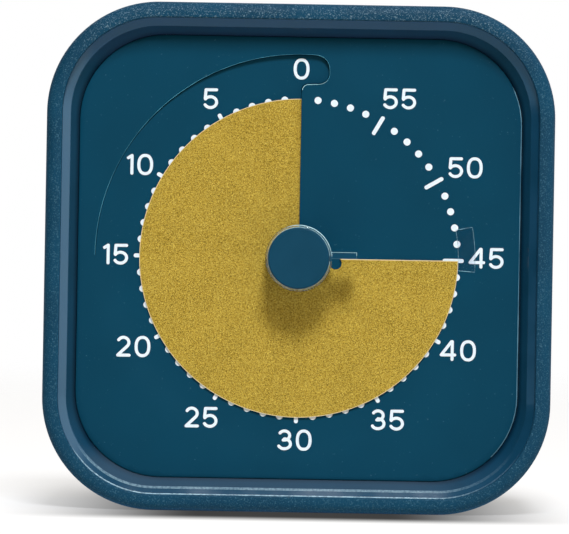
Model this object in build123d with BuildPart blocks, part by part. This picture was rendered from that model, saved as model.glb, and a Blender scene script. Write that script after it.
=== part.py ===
from build123d import *
import math
import os

os.makedirs("parts", exist_ok=True)

# A visual countdown timer.  A coloured disk winds out over a printed dial through a radial slit,
# and a quartz movement behind the dial draws it back again in one hour.
# Millimetres.  +Z is up, the dial looks along -Y, and +X is to the right of someone reading it.
# The origin is the middle of the flat base on which the timer stands.

# ---- case ------------------------------------------------------------------------------------
case_width = 89.0          # width and height over the silicone cover
case_depth = 43.0
case_corner = 19.6         # corner radius of the outline
axis_height = case_width / 2
rim_y = -case_depth / 2    # front edge of the cover
back_y = case_depth / 2    # rear edge of the cover

cover_wall = 1.8
cover_front_edge = 1.9     # rounding of the cover's front outer edge
cover_back_edge = 3.0
cover_front_reach = 2.8    # how far the front lip reaches in from the outline
cover_back_reach = 5.0
cover_front_lip = 1.2      # thickness of the front lip
cover_back_lip = 1.4
cover_fit = 0.05           # gap between the cover and the housing

housing_wall = 2.0
housing_edge = 0.6
housing_inset = cover_wall + cover_fit
housing_front_y = rim_y + cover_front_lip + cover_fit
housing_back_y = back_y - cover_back_lip - cover_fit
parting_y = 8.0            # where the front and rear housings meet
lap_depth = 1.6            # tongue of the rear housing inside the front one
lap_wall = 0.9
lap_fit = 0.1

# ---- bezel, dial and well ----------------------------------------------------------------------
recess_depth = 4.6         # from the cover's front edge back to the dial
face_y = rim_y + recess_depth
bezel_slope = 1.4          # width of the light sloped band inside the lip
bezel_slope_depth = 0.9
bezel_round = 0.3          # edge between the sloped band and the wall of the recess
recess_taper = 1.4         # how far that wall leans in on its way to the dial
plate_corner = 15.0
plate_fit = 0.1
plate_thickness = 1.0
deck_thickness = 1.4       # wall that carries the dial plate
well_depth = 2.4           # from the dial back to the floor of the disk well
well_floor = 1.3
well_wall = 1.2
lip_width = case_width - 2 * cover_front_reach
slope_width = lip_width - 2 * bezel_slope
pocket_width = slope_width - 2 * recess_taper
plate_width = pocket_width - 2 * plate_fit
plate_back_y = face_y + plate_thickness
well_floor_y = face_y + well_depth
well_back_y = well_floor_y + well_floor

# ---- disk, slit and feed -----------------------------------------------------------------------
# The dial inside its flat rim is one turn of a shallow helicoid, and so is the disk.  They share one
# pitch, so the disk threads through the slit at 12 o'clock: in front of the dial on the side that
# shows minutes, behind it on the other.  Turning the disk feeds it along its axis by the same pitch.
feed_pitch = 1.0
sheet_thickness = 0.4      # dial sheet inside the flat rim
dial_rise = 0.2            # height of the sheet beside the slit over the flat rim
flat_rim = 3.1             # flat part of the dial outside the hinged quarter, at its narrowest
number_band = 7.7          # ring outside the disk that carries the numbers
disk_thickness = 0.2
disk_span = 359.0
disk_gap = (feed_pitch - sheet_thickness - disk_thickness) / 2
time_shown = 270.0         # angle of disk in view as drawn: three quarters of an hour
notch_radius = 1.07        # relief at the root of the disk's leading edge
notch_distance = 6.5
notch_inset = 0.8
keeper_width = 3.0         # clear tab on the disk's rim
keeper_thickness = 0.3
keeper_lead = 11.2         # degrees ahead of the leading edge
keeper_lap = 3.6           # degrees behind it
keeper_room = 0.2          # between the keeper's rim and the flat rim of the dial
flap_radius = plate_width / 2 - flat_rim    # outer edge of the hinged quarter of the dial
disk_radius = flap_radius - number_band
dial_opening = disk_radius + keeper_width + keeper_room
dial_lap = 0.4             # overlap of the helicoid sheet and the flat rim
slit_width = 0.2
flap_tab_width = 4.8       # tab that carries the zero
flap_tab_length = 5.2
flap_tab_inner = flap_radius - flap_tab_length
flap_tab_round = 2.4
flap_tab_small_round = 1.75
well_margin = 0.8          # well outside the hinged quarter
well_radius = flap_radius + well_margin

hub_radius = 3.2
hub_margin = 0.2           # hub beyond the disk's two ends
hub_clearance = 0.4        # hub inside the dial sheet
dial_hole = hub_radius + hub_clearance

# ---- knob and spindle --------------------------------------------------------------------------
running_fit = 0.05
knob_lift = 1.1            # underside of the knob over the dial
knob_radius = 5.8
knob_shell_wall = 0.4
knob_shell_edge = 0.15     # rounding of the shell's rim
knob_base = 1.3
knob_rim_height = 8.0      # top of the clear shell over the dial
knob_boss_radius = 2.9
cap_fit = 0.05
cap_height = 8.2
cap_edge = 0.3
cap_skirt = 0.9
cap_top = 1.2
pointer_reach = 10.1
pointer_width = 1.15
pointer_height = 3.6       # how deep it reaches below the top of the shell
spindle_tip_height = 6.0   # over the dial
spindle_tip_radius = 1.5
spindle_hub_radius = 1.75  # where the disk hub slides
spindle_radius = 2.0       # in the well floor and the front plate
spindle_wheel_radius = 1.6
spindle_back_radius = 1.2
spindle_flat = 0.45        # depth of the flat that keys the knob and the hub
spindle_end_play = 0.1     # between its shoulder and the well's floor

# ---- movement ----------------------------------------------------------------------------------
movement_width = 54.0
movement_corner = 4.0
movement_wall = 1.2
movement_front_y = well_back_y
movement_inner_y = movement_front_y + movement_wall
movement_room = 10.0       # between the two movement plates
movement_split = 5.3       # seam between the halves, behind the front plate's inner face
movement_back_y = movement_inner_y + movement_room + movement_wall
movement_cavity = movement_width - 2 * movement_wall
ear_offset = 3.0           # screw ears of the movement, outside its side
ear_reach = movement_width / 2 + ear_offset
ear_radius = 3.2
ear_thickness = 1.6
ear_boss_radius = 2.6
small_screw_radius = 0.95
small_screw_head = 1.9
small_screw_head_height = 1.2
small_screw_length = 4.6
screw_tip_room = 0.2       # hole beyond the tip of a movement screw
rear_edge = 1.0            # rounding of the movement's rear edge

arbor_radius = 0.45
pivot_radius = 0.3
pivot_depth = 0.7
back_pivot_radius = 0.6    # of the spindle
wheel_holes = 4
wheel_hole_place = 0.6     # as shares of the radius inside the teeth
wheel_hole_size = 0.24
centre_holes = 5
centre_hole_radius = 1.3
wheel_thickness = 1.0
pinion_teeth = 8
centre_teeth = 60
third_teeth = 64
second_teeth = 40
step_teeth = 48
coarse_module = 0.3        # centre wheel and second wheel, with their pinions
fine_module = 0.25         # third wheel and step wheel, with their pinions
wheel_addendum = 0.7       # tooth sizes, in modules
wheel_dedendum = 1.2
pinion_dedendum = 1.3
wheel_root_share = 0.30    # half widths of a tooth, as shares of the tooth pitch
wheel_tip_share = 0.15
pinion_root_share = 0.25
pinion_tip_share = 0.125
second_bearing = 10        # directions from one arbor of the train to the next, in degrees
rotor_bearing = 35

# depths of the wheels behind the front plate's inner face
collet_depth = 0.15
collet_thickness = 0.6
collet_radius = 2.9
spring_rise = 0.3          # height of the dished clutch spring
spring_thickness = 0.2
spring_radius = 4.6
spring_cut = 0.6           # scallops between the legs of the clutch spring, beyond its rim
spring_legs = 3
centre_depth = 1.3
flange_thickness = 0.5
flange_radius = 3.4
third_depth = 3.3
second_depth = 5.3
step_depth = 7.3
mesh_margin = 0.3          # a pinion is this much longer than the wheel it meets, each side
cam_depth = 5.7
cam_thickness = 1.2
cam_radius = 4.0
cam_notch = 0.9
cam_notch_at = 45          # degrees

rotor_magnet_radius = 2.4
rotor_magnet_depth = 1.7
rotor_magnet_length = 2.6
stator_depth = 2.6
stator_thickness = 0.8
stator_gap = 0.5           # between magnet and stator
stator_pole = 4.4
stator_bar = 4.4           # width of the bar through the rotor
stator_arm = 4.0
stator_left = -8.0
stator_right = 18.0
coil_offset = 7.6          # coil axis over the rotor axis
coil_radius = 2.9
coil_flange_radius = 3.1
coil_flange = 0.8
coil_former_radius = 1.5
coil_core_width = 1.8

board_left = 7.0           # beside the cam
board_side_room = 1.8      # between the board and the movement's side wall
board_low_room = 3.8
board_high = 6.0
board_corner = 1.0
board_post_inset = 3.0
board_depth = 4.6
board_thickness = 0.8
board_post_radius = 1.3
crystal_radius = 1.0
crystal_length = 6.0
crystal_inset = 3.0        # from the board's right edge
crystal_rise = 15.0        # its upper end over the board's lower edge
crystal_edge = 0.3
blob_radius = 3.0
blob_height = 1.1
blob_taper = 25            # degrees
leaf_thickness = 0.3
leaf_width = 1.8
leaf_clearance = 0.15
leaf_foot_inset = 2.0      # from the board's left edge
leaf_foot_v = -7.0
leaf_foot_size = 1.6
leaf_bend = 0.8            # how far the leaf leans away from the cam
leaf_bend_v = 2.2
contact_post = (1.6, 2.4)  # width and height
contact_post_v = 3.0
contact_post_edge = 0.3

# ---- battery, sounder and switch ---------------------------------------------------------------
cell_radius = 7.1
cell_length = 50.5
cell_nub_radius = 2.7
cell_nub = 1.3
cell_edge = 0.6
cell_height = 27.0         # axis of the cell over the base
cell_fit = 0.25
contact_thickness = 0.5
contact_width = 9.0
spring_room = 4.0
coil_wire = 0.35           # radius of the negative spring's wire
coil_turns = 3
spring_coil_radius = 3.4   # at the contact plate
spring_cone = -12          # degrees
tail_width = 2.2
tail_length = 3.0
bay_wall = 2.0
bay_floor = 1.2
door_thickness = 1.8
door_margin = 1.0          # door beyond the bay's inside, each side
door_fit = 0.3
door_corner = 1.5
hinge_pin_radius = 0.55
hinge_pin_length = 1.2
latch_width = 9.0
latch_thickness = 0.8
latch_depth = 2.2
latch_swing_room = 0.6
grip_radius = 9.0
grip_depth = 0.5

buzzer_at = (-15.0, 21.0)  # x, and height over the dial axis
buzzer_radius = 9.0
buzzer_thickness = 4.5
buzzer_chamfer = 0.5
buzzer_rim = 1.2
buzzer_recess = 0.8
buzzer_terminals = (1.5, 4.0)       # where the leads leave it, each way from its middle
buzzer_holder_wall = 1.2
buzzer_holder_height = 3.0
grille_slots = 5
grille_pitch = 3.0
grille_length = 13.0
grille_width = 1.3
switch_at = (16.0, 21.0)
switch_size = (13.0, 6.4, 6.0)      # width, height and depth of the switch's case
switch_travel = 3.0
switch_cap = (4.4, 2.4)             # width and height of the part that shows
switch_cap_proud = 0.9
switch_ribs = 3
switch_rib_pitch = 1.2
switch_rib_groove = 0.5
switch_rib_depth = 0.4
switch_corner = 0.6
switch_base = (6.0, 3.4, 2.0)
switch_clearance = 0.3

boss_share = 0.46          # place of a housing screw between the corners of movement and cavity
boss_radius = 3.3
screw_radius = 1.2
screw_head_radius = 2.7
screw_head_height = 1.8
screw_recess = 6.0
screw_recess_radius = 3.1
screw_bite = 8.0           # length of screw in the front boss
screw_tip_room_long = 1.0  # hole beyond its tip
screw_drive = 0.9          # half the diagonal of its square drive
screw_tube_wall = 1.0

lead_radius = 0.5
lead_bend = 1.6
lead_rise = 1.9            # axis of a lead behind the movement, on its way to the battery bay
lead_gap_y = movement_back_y + lead_rise
lead_hole_radius = 0.75
lead_pitch = 2.5           # between neighbouring leads on the board
lead_inset = 2.0           # and in from its edge


def dial_plane(y):
    """A sketch plane seen from the front: x to the right, y up from the dial axis.

    It faces the viewer, so a negative extrusion runs towards the rear.
    """
    return Plane(origin=(0, y, axis_height), x_dir=(1, 0, 0), z_dir=(0, -1, 0))


def movement_plane(depth):
    """A dial plane at a depth behind the inner face of the movement's front plate."""
    return dial_plane(movement_inner_y + depth)


def corner_at(inset):
    """Corner radius of the case outline moved inwards."""
    return case_corner - inset


def polar(radius, angle):
    """A point in a dial plane; the angle is in degrees, counter-clockwise from the right."""
    return (radius * math.cos(math.radians(angle)), radius * math.sin(math.radians(angle)))


def beyond(point, distance, angle):
    """The point at a distance and an angle from another one."""
    step = polar(distance, angle)
    return (point[0] + step[0], point[1] + step[1])


def direction(start, end):
    """Angle in degrees of the line from one point to another."""
    return math.degrees(math.atan2(end[1] - start[1], end[0] - start[0]))


dial_axis = Axis((0, 0, axis_height), (0, -1, 0))


def helicoid(inner, outer, thickness, start, span, height):
    """A sheet that climbs towards the viewer as it turns counter-clockwise about the dial axis.

    start is the angle of its lower end from 12 o'clock, and height is that end's rear surface
    over the dial.
    """
    with BuildPart() as sheet:
        with BuildLine() as path:
            Helix(
                pitch=feed_pitch,
                height=feed_pitch * span / 360,
                radius=(inner + outer) / 2,
                center=(0, face_y - height - thickness / 2, axis_height),
                direction=(0, -1, 0),
            )
        begin = path.line @ 0
        outward = Vector(begin.X, 0, begin.Z - axis_height).normalized()
        with BuildSketch(Plane(origin=begin, x_dir=outward, z_dir=outward.cross(Vector(0, 1, 0)))):
            Rectangle(outer - inner, thickness)
        sweep(is_frenet=True)
    begin_angle = math.degrees(math.atan2(-outward.X, outward.Z))
    return sheet.part.rotate(dial_axis, start - begin_angle)


def dial_height(angle):
    """Height of the dial sheet's front at an angle from 12 o'clock, over the flat rim."""
    return dial_rise - feed_pitch * (360 - angle) / 360


# ---- silicone cover ----------------------------------------------------------------------------
cover_pocket = case_width - 2 * cover_wall
with BuildPart() as silicone_cover:
    with BuildSketch(dial_plane(back_y)):
        RectangleRounded(case_width, case_width, case_corner)
    extrude(amount=case_depth)
    fillet(silicone_cover.faces().sort_by(Axis.Y)[0].edges(), radius=cover_front_edge)
    fillet(silicone_cover.faces().sort_by(Axis.Y)[-1].edges(), radius=cover_back_edge)
    with BuildSketch(dial_plane(back_y - cover_back_lip)):
        RectangleRounded(cover_pocket, cover_pocket, corner_at(cover_wall))
    extrude(amount=case_depth - cover_back_lip - cover_front_lip, mode=Mode.SUBTRACT)
    for reach in (cover_back_reach, cover_front_reach):
        side_y = back_y if reach == cover_back_reach else rim_y + cover_front_lip
        lip = cover_back_lip if reach == cover_back_reach else cover_front_lip
        window = case_width - 2 * reach
        with BuildSketch(dial_plane(side_y)):
            RectangleRounded(window, window, corner_at(reach))
        extrude(amount=lip, mode=Mode.SUBTRACT)
silicone_cover.part.label = "silicone_cover"
export_step(silicone_cover.part, "parts/silicone_cover.step")

# ---- front housing -----------------------------------------------------------------------------
housing_width = case_width - 2 * housing_inset
cavity_width = housing_width - 2 * housing_wall
movement_corner_at = movement_width / 2 - movement_corner * (1 - math.sqrt(0.5))
cavity_corner_at = cavity_width / 2 - corner_at(housing_inset + housing_wall) * (1 - math.sqrt(0.5))
boss_offset = movement_corner_at + boss_share * (cavity_corner_at - movement_corner_at)
boss_places = [(x, z) for x in (-boss_offset, boss_offset) for z in (-boss_offset, boss_offset)]
ear_places = [(-ear_reach, 0), (ear_reach, 0)]
deck_back_y = plate_back_y + deck_thickness
ear_front_y = movement_inner_y + movement_split - ear_thickness
with BuildPart() as front_housing:
    with BuildSketch(dial_plane(parting_y)):
        RectangleRounded(housing_width, housing_width, corner_at(housing_inset))
    extrude(amount=parting_y - housing_front_y)
    fillet(front_housing.faces().sort_by(Axis.Y)[0].edges(), radius=housing_edge)
    with BuildSketch(dial_plane(parting_y)):
        RectangleRounded(cavity_width, cavity_width, corner_at(housing_inset + housing_wall))
    extrude(amount=parting_y - deck_back_y, mode=Mode.SUBTRACT)
    # the sloped band inside the lip, then the wall down to the dial
    with BuildSketch(dial_plane(housing_front_y)):
        RectangleRounded(lip_width, lip_width, corner_at(cover_front_reach))
    with BuildSketch(dial_plane(housing_front_y + bezel_slope_depth)):
        RectangleRounded(slope_width, slope_width, corner_at(cover_front_reach + bezel_slope))
    loft(mode=Mode.SUBTRACT)
    with BuildSketch(dial_plane(housing_front_y + bezel_slope_depth)):
        RectangleRounded(slope_width, slope_width, corner_at(cover_front_reach + bezel_slope))
    with BuildSketch(dial_plane(face_y)):
        RectangleRounded(pocket_width, pocket_width, plate_corner + plate_fit)
    loft(mode=Mode.SUBTRACT)
    slope_end_y = housing_front_y + bezel_slope_depth
    fillet(
        front_housing.edges().filter_by_position(Axis.Y, slope_end_y, slope_end_y), radius=bezel_round
    )
    with BuildSketch(dial_plane(plate_back_y)):
        RectangleRounded(pocket_width, pocket_width, plate_corner + plate_fit)
    extrude(amount=plate_thickness, mode=Mode.SUBTRACT)
    # the cup of the disk well
    with BuildSketch(dial_plane(well_back_y)):
        Circle(well_radius + well_wall)
    extrude(amount=well_back_y - plate_back_y)
    with BuildSketch(dial_plane(well_floor_y)):
        Circle(well_radius)
    extrude(amount=well_floor_y - plate_back_y, mode=Mode.SUBTRACT)
    with BuildSketch(dial_plane(well_back_y)):
        Circle(spindle_radius + running_fit)
    extrude(amount=well_floor, mode=Mode.SUBTRACT)
    # screw bosses for the rear housing and for the movement
    with BuildSketch(dial_plane(parting_y)):
        with Locations(*boss_places):
            Circle(boss_radius)
    extrude(amount=parting_y - deck_back_y)
    with BuildSketch(dial_plane(parting_y)):
        with Locations(*boss_places):
            Circle(screw_radius)
    extrude(amount=screw_bite + screw_tip_room_long, mode=Mode.SUBTRACT)
    with BuildSketch(dial_plane(ear_front_y)):
        with Locations(*ear_places):
            Circle(ear_boss_radius)
    extrude(amount=ear_front_y - well_back_y)
    with BuildSketch(dial_plane(ear_front_y)):
        with Locations(*ear_places):
            Circle(small_screw_radius)
    extrude(amount=small_screw_length - ear_thickness + screw_tip_room, mode=Mode.SUBTRACT)
front_housing.part.label = "front_housing"
export_step(front_housing.part, "parts/front_housing.step")

# ---- dial plate --------------------------------------------------------------------------------
dial_sheet = helicoid(
    dial_hole, dial_opening + dial_lap, sheet_thickness, 90, 270, dial_height(90) - sheet_thickness
)
dial_flap = helicoid(dial_hole, flap_radius, sheet_thickness, 0, 90, dial_height(0) - sheet_thickness)
with BuildPart() as face_plate:
    with BuildSketch(dial_plane(plate_back_y)):
        RectangleRounded(plate_width, plate_width, plate_corner)
        Circle(dial_opening, mode=Mode.SUBTRACT)
    extrude(amount=plate_thickness)
    # the opening of the hinged quarter, from 9 o'clock to 12 o'clock
    with BuildSketch(dial_plane(plate_back_y)) as quarter:
        Circle(flap_radius + slit_width)
        Rectangle(case_width, case_width, align=(Align.MAX, Align.MIN), mode=Mode.INTERSECT)
    extrude(amount=plate_thickness, mode=Mode.SUBTRACT)
    add(dial_sheet)
    # the opening round the tab that carries the zero
    with BuildSketch(dial_plane(face_y + plate_thickness)) as tab_opening:
        with Locations((0, flap_tab_inner - slit_width)):
            Rectangle(
                flap_tab_width + slit_width,
                flap_radius + 2 * slit_width - flap_tab_inner,
                align=(Align.MIN, Align.MIN),
            )
        fillet(tab_opening.vertices().group_by(Axis.X)[-1].group_by(Axis.Y)[-1], flap_tab_round)
        fillet(tab_opening.vertices().group_by(Axis.X)[-1].group_by(Axis.Y)[0], flap_tab_small_round)
    extrude(amount=plate_thickness + dial_rise + 0.1, mode=Mode.SUBTRACT)
    add(dial_flap)
    with BuildSketch(dial_plane(face_y - dial_height(0) + sheet_thickness)) as flap_tab:
        with Locations((0, flap_tab_inner)):
            Rectangle(flap_tab_width, flap_radius - flap_tab_inner, align=(Align.MIN, Align.MIN))
        fillet(flap_tab.vertices().group_by(Axis.X)[-1].group_by(Axis.Y)[-1], flap_tab_round)
        fillet(flap_tab.vertices().group_by(Axis.X)[-1].group_by(Axis.Y)[0], flap_tab_small_round)
    extrude(amount=sheet_thickness)
face_plate.part.label = "face_plate"
export_step(face_plate.part, "parts/face_plate.step")

# ---- disk, hub and keeper ----------------------------------------------------------------------
disk_front_height = dial_height(time_shown) + disk_gap      # rear surface at the leading edge
disk_back_height = disk_front_height - feed_pitch * disk_span / 360
disk_sheet = helicoid(
    hub_radius, disk_radius, disk_thickness, time_shown - disk_span, disk_span, disk_back_height
)
leading = direction((0, 0), polar(1, 90 + time_shown))
with BuildPart() as time_disk:
    add(disk_sheet)
    notch_at = beyond(polar(notch_distance, leading), notch_inset, leading - 90)
    with BuildSketch(dial_plane(face_y - disk_front_height + disk_thickness)):
        with Locations(notch_at):
            Circle(notch_radius)
    extrude(amount=3 * disk_thickness, mode=Mode.SUBTRACT)
time_disk.part.label = "time_disk"
export_step(time_disk.part, "parts/time_disk.step")

keeper_height = disk_front_height - feed_pitch * keeper_lap / 360
with BuildPart() as keeper_tab:
    add(
        helicoid(
            disk_radius,
            disk_radius + keeper_width,
            keeper_thickness,
            time_shown - keeper_lap,
            keeper_lap + keeper_lead,
            keeper_height,
        )
    )
keeper_tab.part.label = "keeper_tab"
export_step(keeper_tab.part, "parts/keeper_tab.step")

hub_front_y = face_y - disk_front_height - disk_thickness - hub_margin
hub_back_y = face_y - disk_back_height + hub_margin
with BuildPart() as disk_hub:
    with BuildSketch(dial_plane(hub_back_y)):
        Circle(hub_radius)
    extrude(amount=hub_back_y - hub_front_y)
    with BuildSketch(dial_plane(hub_back_y)):
        Circle(spindle_hub_radius + running_fit)
        with Locations((0, spindle_hub_radius + running_fit)):
            Rectangle(4 * spindle_radius, 2 * spindle_flat, mode=Mode.SUBTRACT)
    extrude(amount=hub_back_y - hub_front_y, mode=Mode.SUBTRACT)
disk_hub.part.label = "disk_hub"
export_step(disk_hub.part, "parts/disk_hub.step")

# ---- spindle and slip clutch -------------------------------------------------------------------
knob_back_y = face_y - knob_lift
spindle_shoulder_y = well_floor_y - spindle_end_play
flange_depth = centre_depth + wheel_thickness + running_fit
with BuildPart() as spindle:
    spindle_steps = (
        (spindle_tip_radius, face_y - spindle_tip_height, knob_back_y),
        (spindle_hub_radius, knob_back_y, spindle_shoulder_y),
        (spindle_radius, spindle_shoulder_y, movement_inner_y),
        (spindle_wheel_radius, movement_inner_y, movement_inner_y + flange_depth),
        (flange_radius, movement_inner_y + flange_depth, movement_inner_y + flange_depth + flange_thickness),
        (spindle_back_radius, movement_inner_y + flange_depth + flange_thickness,
         movement_inner_y + movement_room - running_fit),
        (back_pivot_radius, movement_inner_y + movement_room - running_fit, movement_back_y),
    )
    for step_radius, step_front, step_back in spindle_steps:
        with BuildSketch(dial_plane(step_back)):
            Circle(step_radius)
        extrude(amount=step_back - step_front)
    # one flat keys the knob and the disk hub
    for step_radius, step_front, step_back in spindle_steps[:2]:
        with BuildSketch(dial_plane(step_back)):
            with Locations((0, step_radius)):
                Rectangle(4 * spindle_radius, 2 * spindle_flat)
        extrude(amount=step_back - step_front, mode=Mode.SUBTRACT)
spindle.part.label = "spindle"
export_step(spindle.part, "parts/spindle.step")

collet_back = collet_depth + collet_thickness
with BuildPart() as clutch_collet:
    with BuildSketch(movement_plane(collet_back)):
        Circle(collet_radius)
        Circle(spindle_wheel_radius, mode=Mode.SUBTRACT)
    extrude(amount=collet_thickness)
clutch_collet.part.label = "clutch_collet"
export_step(clutch_collet.part, "parts/clutch_collet.step")

with BuildPart() as clutch_spring:
    with BuildSketch(Plane.YZ) as spring_section:
        near_y = movement_inner_y + collet_back
        with BuildLine():
            Polyline(
                (near_y, axis_height + spindle_wheel_radius),
                (near_y + spring_thickness, axis_height + spindle_wheel_radius),
                (near_y + spring_thickness + spring_rise, axis_height + spring_radius),
                (near_y + spring_rise, axis_height + spring_radius),
                close=True,
            )
        make_face()
    revolve(axis=dial_axis)
    # three legs are left of the dished washer
    with BuildSketch(movement_plane(centre_depth)):
        with PolarLocations((collet_radius + spring_radius) / 2 + spring_cut, spring_legs):
            Circle((spring_radius - collet_radius) / 2 + spring_cut)
    extrude(amount=centre_depth, mode=Mode.SUBTRACT)
clutch_spring.part.label = "clutch_spring"
export_step(clutch_spring.part, "parts/clutch_spring.step")

with BuildPart() as alarm_cam:
    with BuildSketch(movement_plane(cam_depth + cam_thickness)):
        Circle(cam_radius)
        Circle(spindle_back_radius, mode=Mode.SUBTRACT)
        with Locations(polar(cam_radius, cam_notch_at)):
            RegularPolygon(2 * cam_notch, 3, rotation=cam_notch_at + 180, mode=Mode.SUBTRACT)
    extrude(amount=cam_thickness)
alarm_cam.part.label = "alarm_cam"
export_step(alarm_cam.part, "parts/alarm_cam.step")

# ---- knob --------------------------------------------------------------------------------------
knob_inner = knob_radius - knob_shell_wall
knob_floor_y = knob_back_y - knob_base
with BuildPart() as knob_shell:
    with BuildSketch(dial_plane(knob_back_y)):
        Circle(knob_radius)
    extrude(amount=knob_rim_height - knob_lift)
    fillet(knob_shell.faces().sort_by(Axis.Y)[0].edges(), radius=knob_shell_edge)
    with BuildSketch(dial_plane(knob_floor_y)):
        Circle(knob_inner)
        Circle(knob_boss_radius, mode=Mode.SUBTRACT)
    extrude(amount=knob_rim_height - knob_lift - knob_base, mode=Mode.SUBTRACT)
    with BuildSketch(dial_plane(face_y - spindle_tip_height)):
        Circle(knob_inner)
    extrude(amount=knob_rim_height, mode=Mode.SUBTRACT)
    with BuildSketch(dial_plane(knob_back_y)):
        Circle(spindle_tip_radius)
        with Locations((0, spindle_tip_radius)):
            Rectangle(4 * spindle_radius, 2 * spindle_flat, mode=Mode.SUBTRACT)
    extrude(amount=knob_rim_height, mode=Mode.SUBTRACT)
    # the pointer, flush with the rim: its lower edge lies on the radius of the disk's leading edge
    with BuildSketch(dial_plane(face_y - knob_rim_height + pointer_height)):
        with Locations(((knob_radius + pointer_reach) / 2 - knob_shell_wall / 2, pointer_width / 2)):
            Rectangle(pointer_reach - knob_radius + knob_shell_wall, pointer_width)
    extrude(amount=pointer_height)
knob_shell.part.label = "knob_shell"
export_step(knob_shell.part, "parts/knob_shell.step")

with BuildPart() as knob_cap:
    with BuildSketch(dial_plane(knob_floor_y)):
        Circle(knob_inner - cap_fit)
    extrude(amount=cap_height - knob_lift - knob_base)
    fillet(knob_cap.faces().sort_by(Axis.Y)[0].edges(), radius=cap_edge)
    with BuildSketch(dial_plane(knob_floor_y)):
        Circle(knob_inner - cap_fit - cap_skirt)
    extrude(amount=cap_height - cap_top - knob_lift - knob_base, mode=Mode.SUBTRACT)
knob_cap.part.label = "knob_cap"
export_step(knob_cap.part, "parts/knob_cap.step")


# ---- gear train --------------------------------------------------------------------------------
def tooth_outline(module, teeth, first_tooth, root_share, tip_share, dedendum):
    """Corner points of a gear with straight-sided teeth, one tooth at the angle first_tooth."""
    pitch_radius = module * teeth / 2
    root = pitch_radius - dedendum * module
    tip = pitch_radius + wheel_addendum * module
    tooth_pitch = 360 / teeth
    points = []
    for tooth in range(teeth):
        middle = first_tooth + tooth * tooth_pitch
        points.append(polar(root, middle - root_share * tooth_pitch))
        points.append(polar(tip, middle - tip_share * tooth_pitch))
        points.append(polar(tip, middle + tip_share * tooth_pitch))
        points.append(polar(root, middle + root_share * tooth_pitch))
    return points


def wheel_outline(module, teeth, gap_angle):
    """A wheel with a gap between teeth at gap_angle, where its pinion meets it."""
    first = gap_angle + 180 / teeth
    return tooth_outline(module, teeth, first, wheel_root_share, wheel_tip_share, wheel_dedendum)


def pinion_outline(module, tooth_angle):
    """A pinion with a tooth at tooth_angle, towards the wheel that it meets."""
    return tooth_outline(
        module, pinion_teeth, tooth_angle, pinion_root_share, pinion_tip_share, pinion_dedendum
    )


def mesh_distance(module, teeth):
    """Distance between the centres of a pinion and its wheel."""
    return module * (pinion_teeth + teeth) / 2


centre_at = (0, 0)
third_at = beyond(centre_at, mesh_distance(coarse_module, centre_teeth), 180)
second_at = beyond(third_at, mesh_distance(fine_module, third_teeth), 90)
step_at = beyond(second_at, mesh_distance(coarse_module, second_teeth), second_bearing)
rotor_at = beyond(step_at, mesh_distance(fine_module, step_teeth), rotor_bearing)


def gear(points, centre, depth, thickness):
    """A toothed disc."""
    with BuildPart() as disc:
        with BuildSketch(movement_plane(depth + thickness)):
            with BuildLine():
                Polyline(*[(centre[0] + x, centre[1] + y) for x, y in points], close=True)
            make_face()
        extrude(amount=thickness)
    return disc.part


def arbor(centre):
    """An arbor that reaches from one movement plate to the other, with a pivot at each end."""
    with BuildPart() as axle:
        with BuildSketch(movement_plane(movement_room - running_fit)):
            with Locations(centre):
                Circle(arbor_radius)
        extrude(amount=movement_room - 2 * running_fit)
        with BuildSketch(movement_plane(movement_room + pivot_depth)):
            with Locations(centre):
                Circle(pivot_radius)
        extrude(amount=movement_room + 2 * pivot_depth)
    return axle.part


def train_wheel(centre, module, teeth, gap_to, depth, pinion_module, tooth_to, pinion_meets):
    """A wheel and its pinion on one arbor; pinion_meets is the depth of the wheel it drives."""
    rim_points = wheel_outline(module, teeth, direction(centre, gap_to))
    pinion_points = pinion_outline(pinion_module, direction(centre, tooth_to))
    pinion_length = wheel_thickness + 2 * mesh_margin
    web = module * (teeth / 2 - wheel_dedendum)
    disc = gear(rim_points, centre, depth, wheel_thickness)
    pinion = gear(pinion_points, centre, pinion_meets - mesh_margin, pinion_length)
    axle = arbor(centre)
    with BuildPart() as wheel:
        add(disc)
        with BuildSketch(movement_plane(depth + wheel_thickness)):
            with Locations(centre):
                with PolarLocations(web * wheel_hole_place, wheel_holes):
                    Circle(web * wheel_hole_size)
        extrude(amount=wheel_thickness, mode=Mode.SUBTRACT)
        add(pinion)
        add(axle)
        # a boss joins the pinion to the wheel
        with BuildSketch(movement_plane(depth)):
            with Locations(centre):
                Circle(2 * arbor_radius)
        extrude(amount=depth - pinion_meets - wheel_thickness - mesh_margin)
    return wheel


third_wheel = train_wheel(
    third_at, fine_module, third_teeth, second_at, third_depth,
    coarse_module, centre_at, centre_depth,
)
second_wheel = train_wheel(
    second_at, coarse_module, second_teeth, step_at, second_depth,
    fine_module, third_at, third_depth,
)
step_wheel = train_wheel(
    step_at, fine_module, step_teeth, rotor_at, step_depth,
    coarse_module, second_at, second_depth,
)
for wheel_name, wheel in (
    ("third_wheel", third_wheel),
    ("second_wheel", second_wheel),
    ("step_wheel", step_wheel),
):
    wheel.part.label = wheel_name
    export_step(wheel.part, f"parts/{wheel_name}.step")

centre_points = wheel_outline(coarse_module, centre_teeth, direction(centre_at, third_at))
centre_disc = gear(centre_points, centre_at, centre_depth, wheel_thickness)
with BuildPart() as centre_wheel:
    add(centre_disc)
    with BuildSketch(movement_plane(centre_depth + wheel_thickness)):
        Circle(spindle_wheel_radius + running_fit)
        with PolarLocations((spring_radius + coarse_module * centre_teeth / 2) / 2, centre_holes):
            Circle(centre_hole_radius)
    extrude(amount=wheel_thickness, mode=Mode.SUBTRACT)
centre_wheel.part.label = "centre_wheel"
export_step(centre_wheel.part, "parts/centre_wheel.step")

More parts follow.
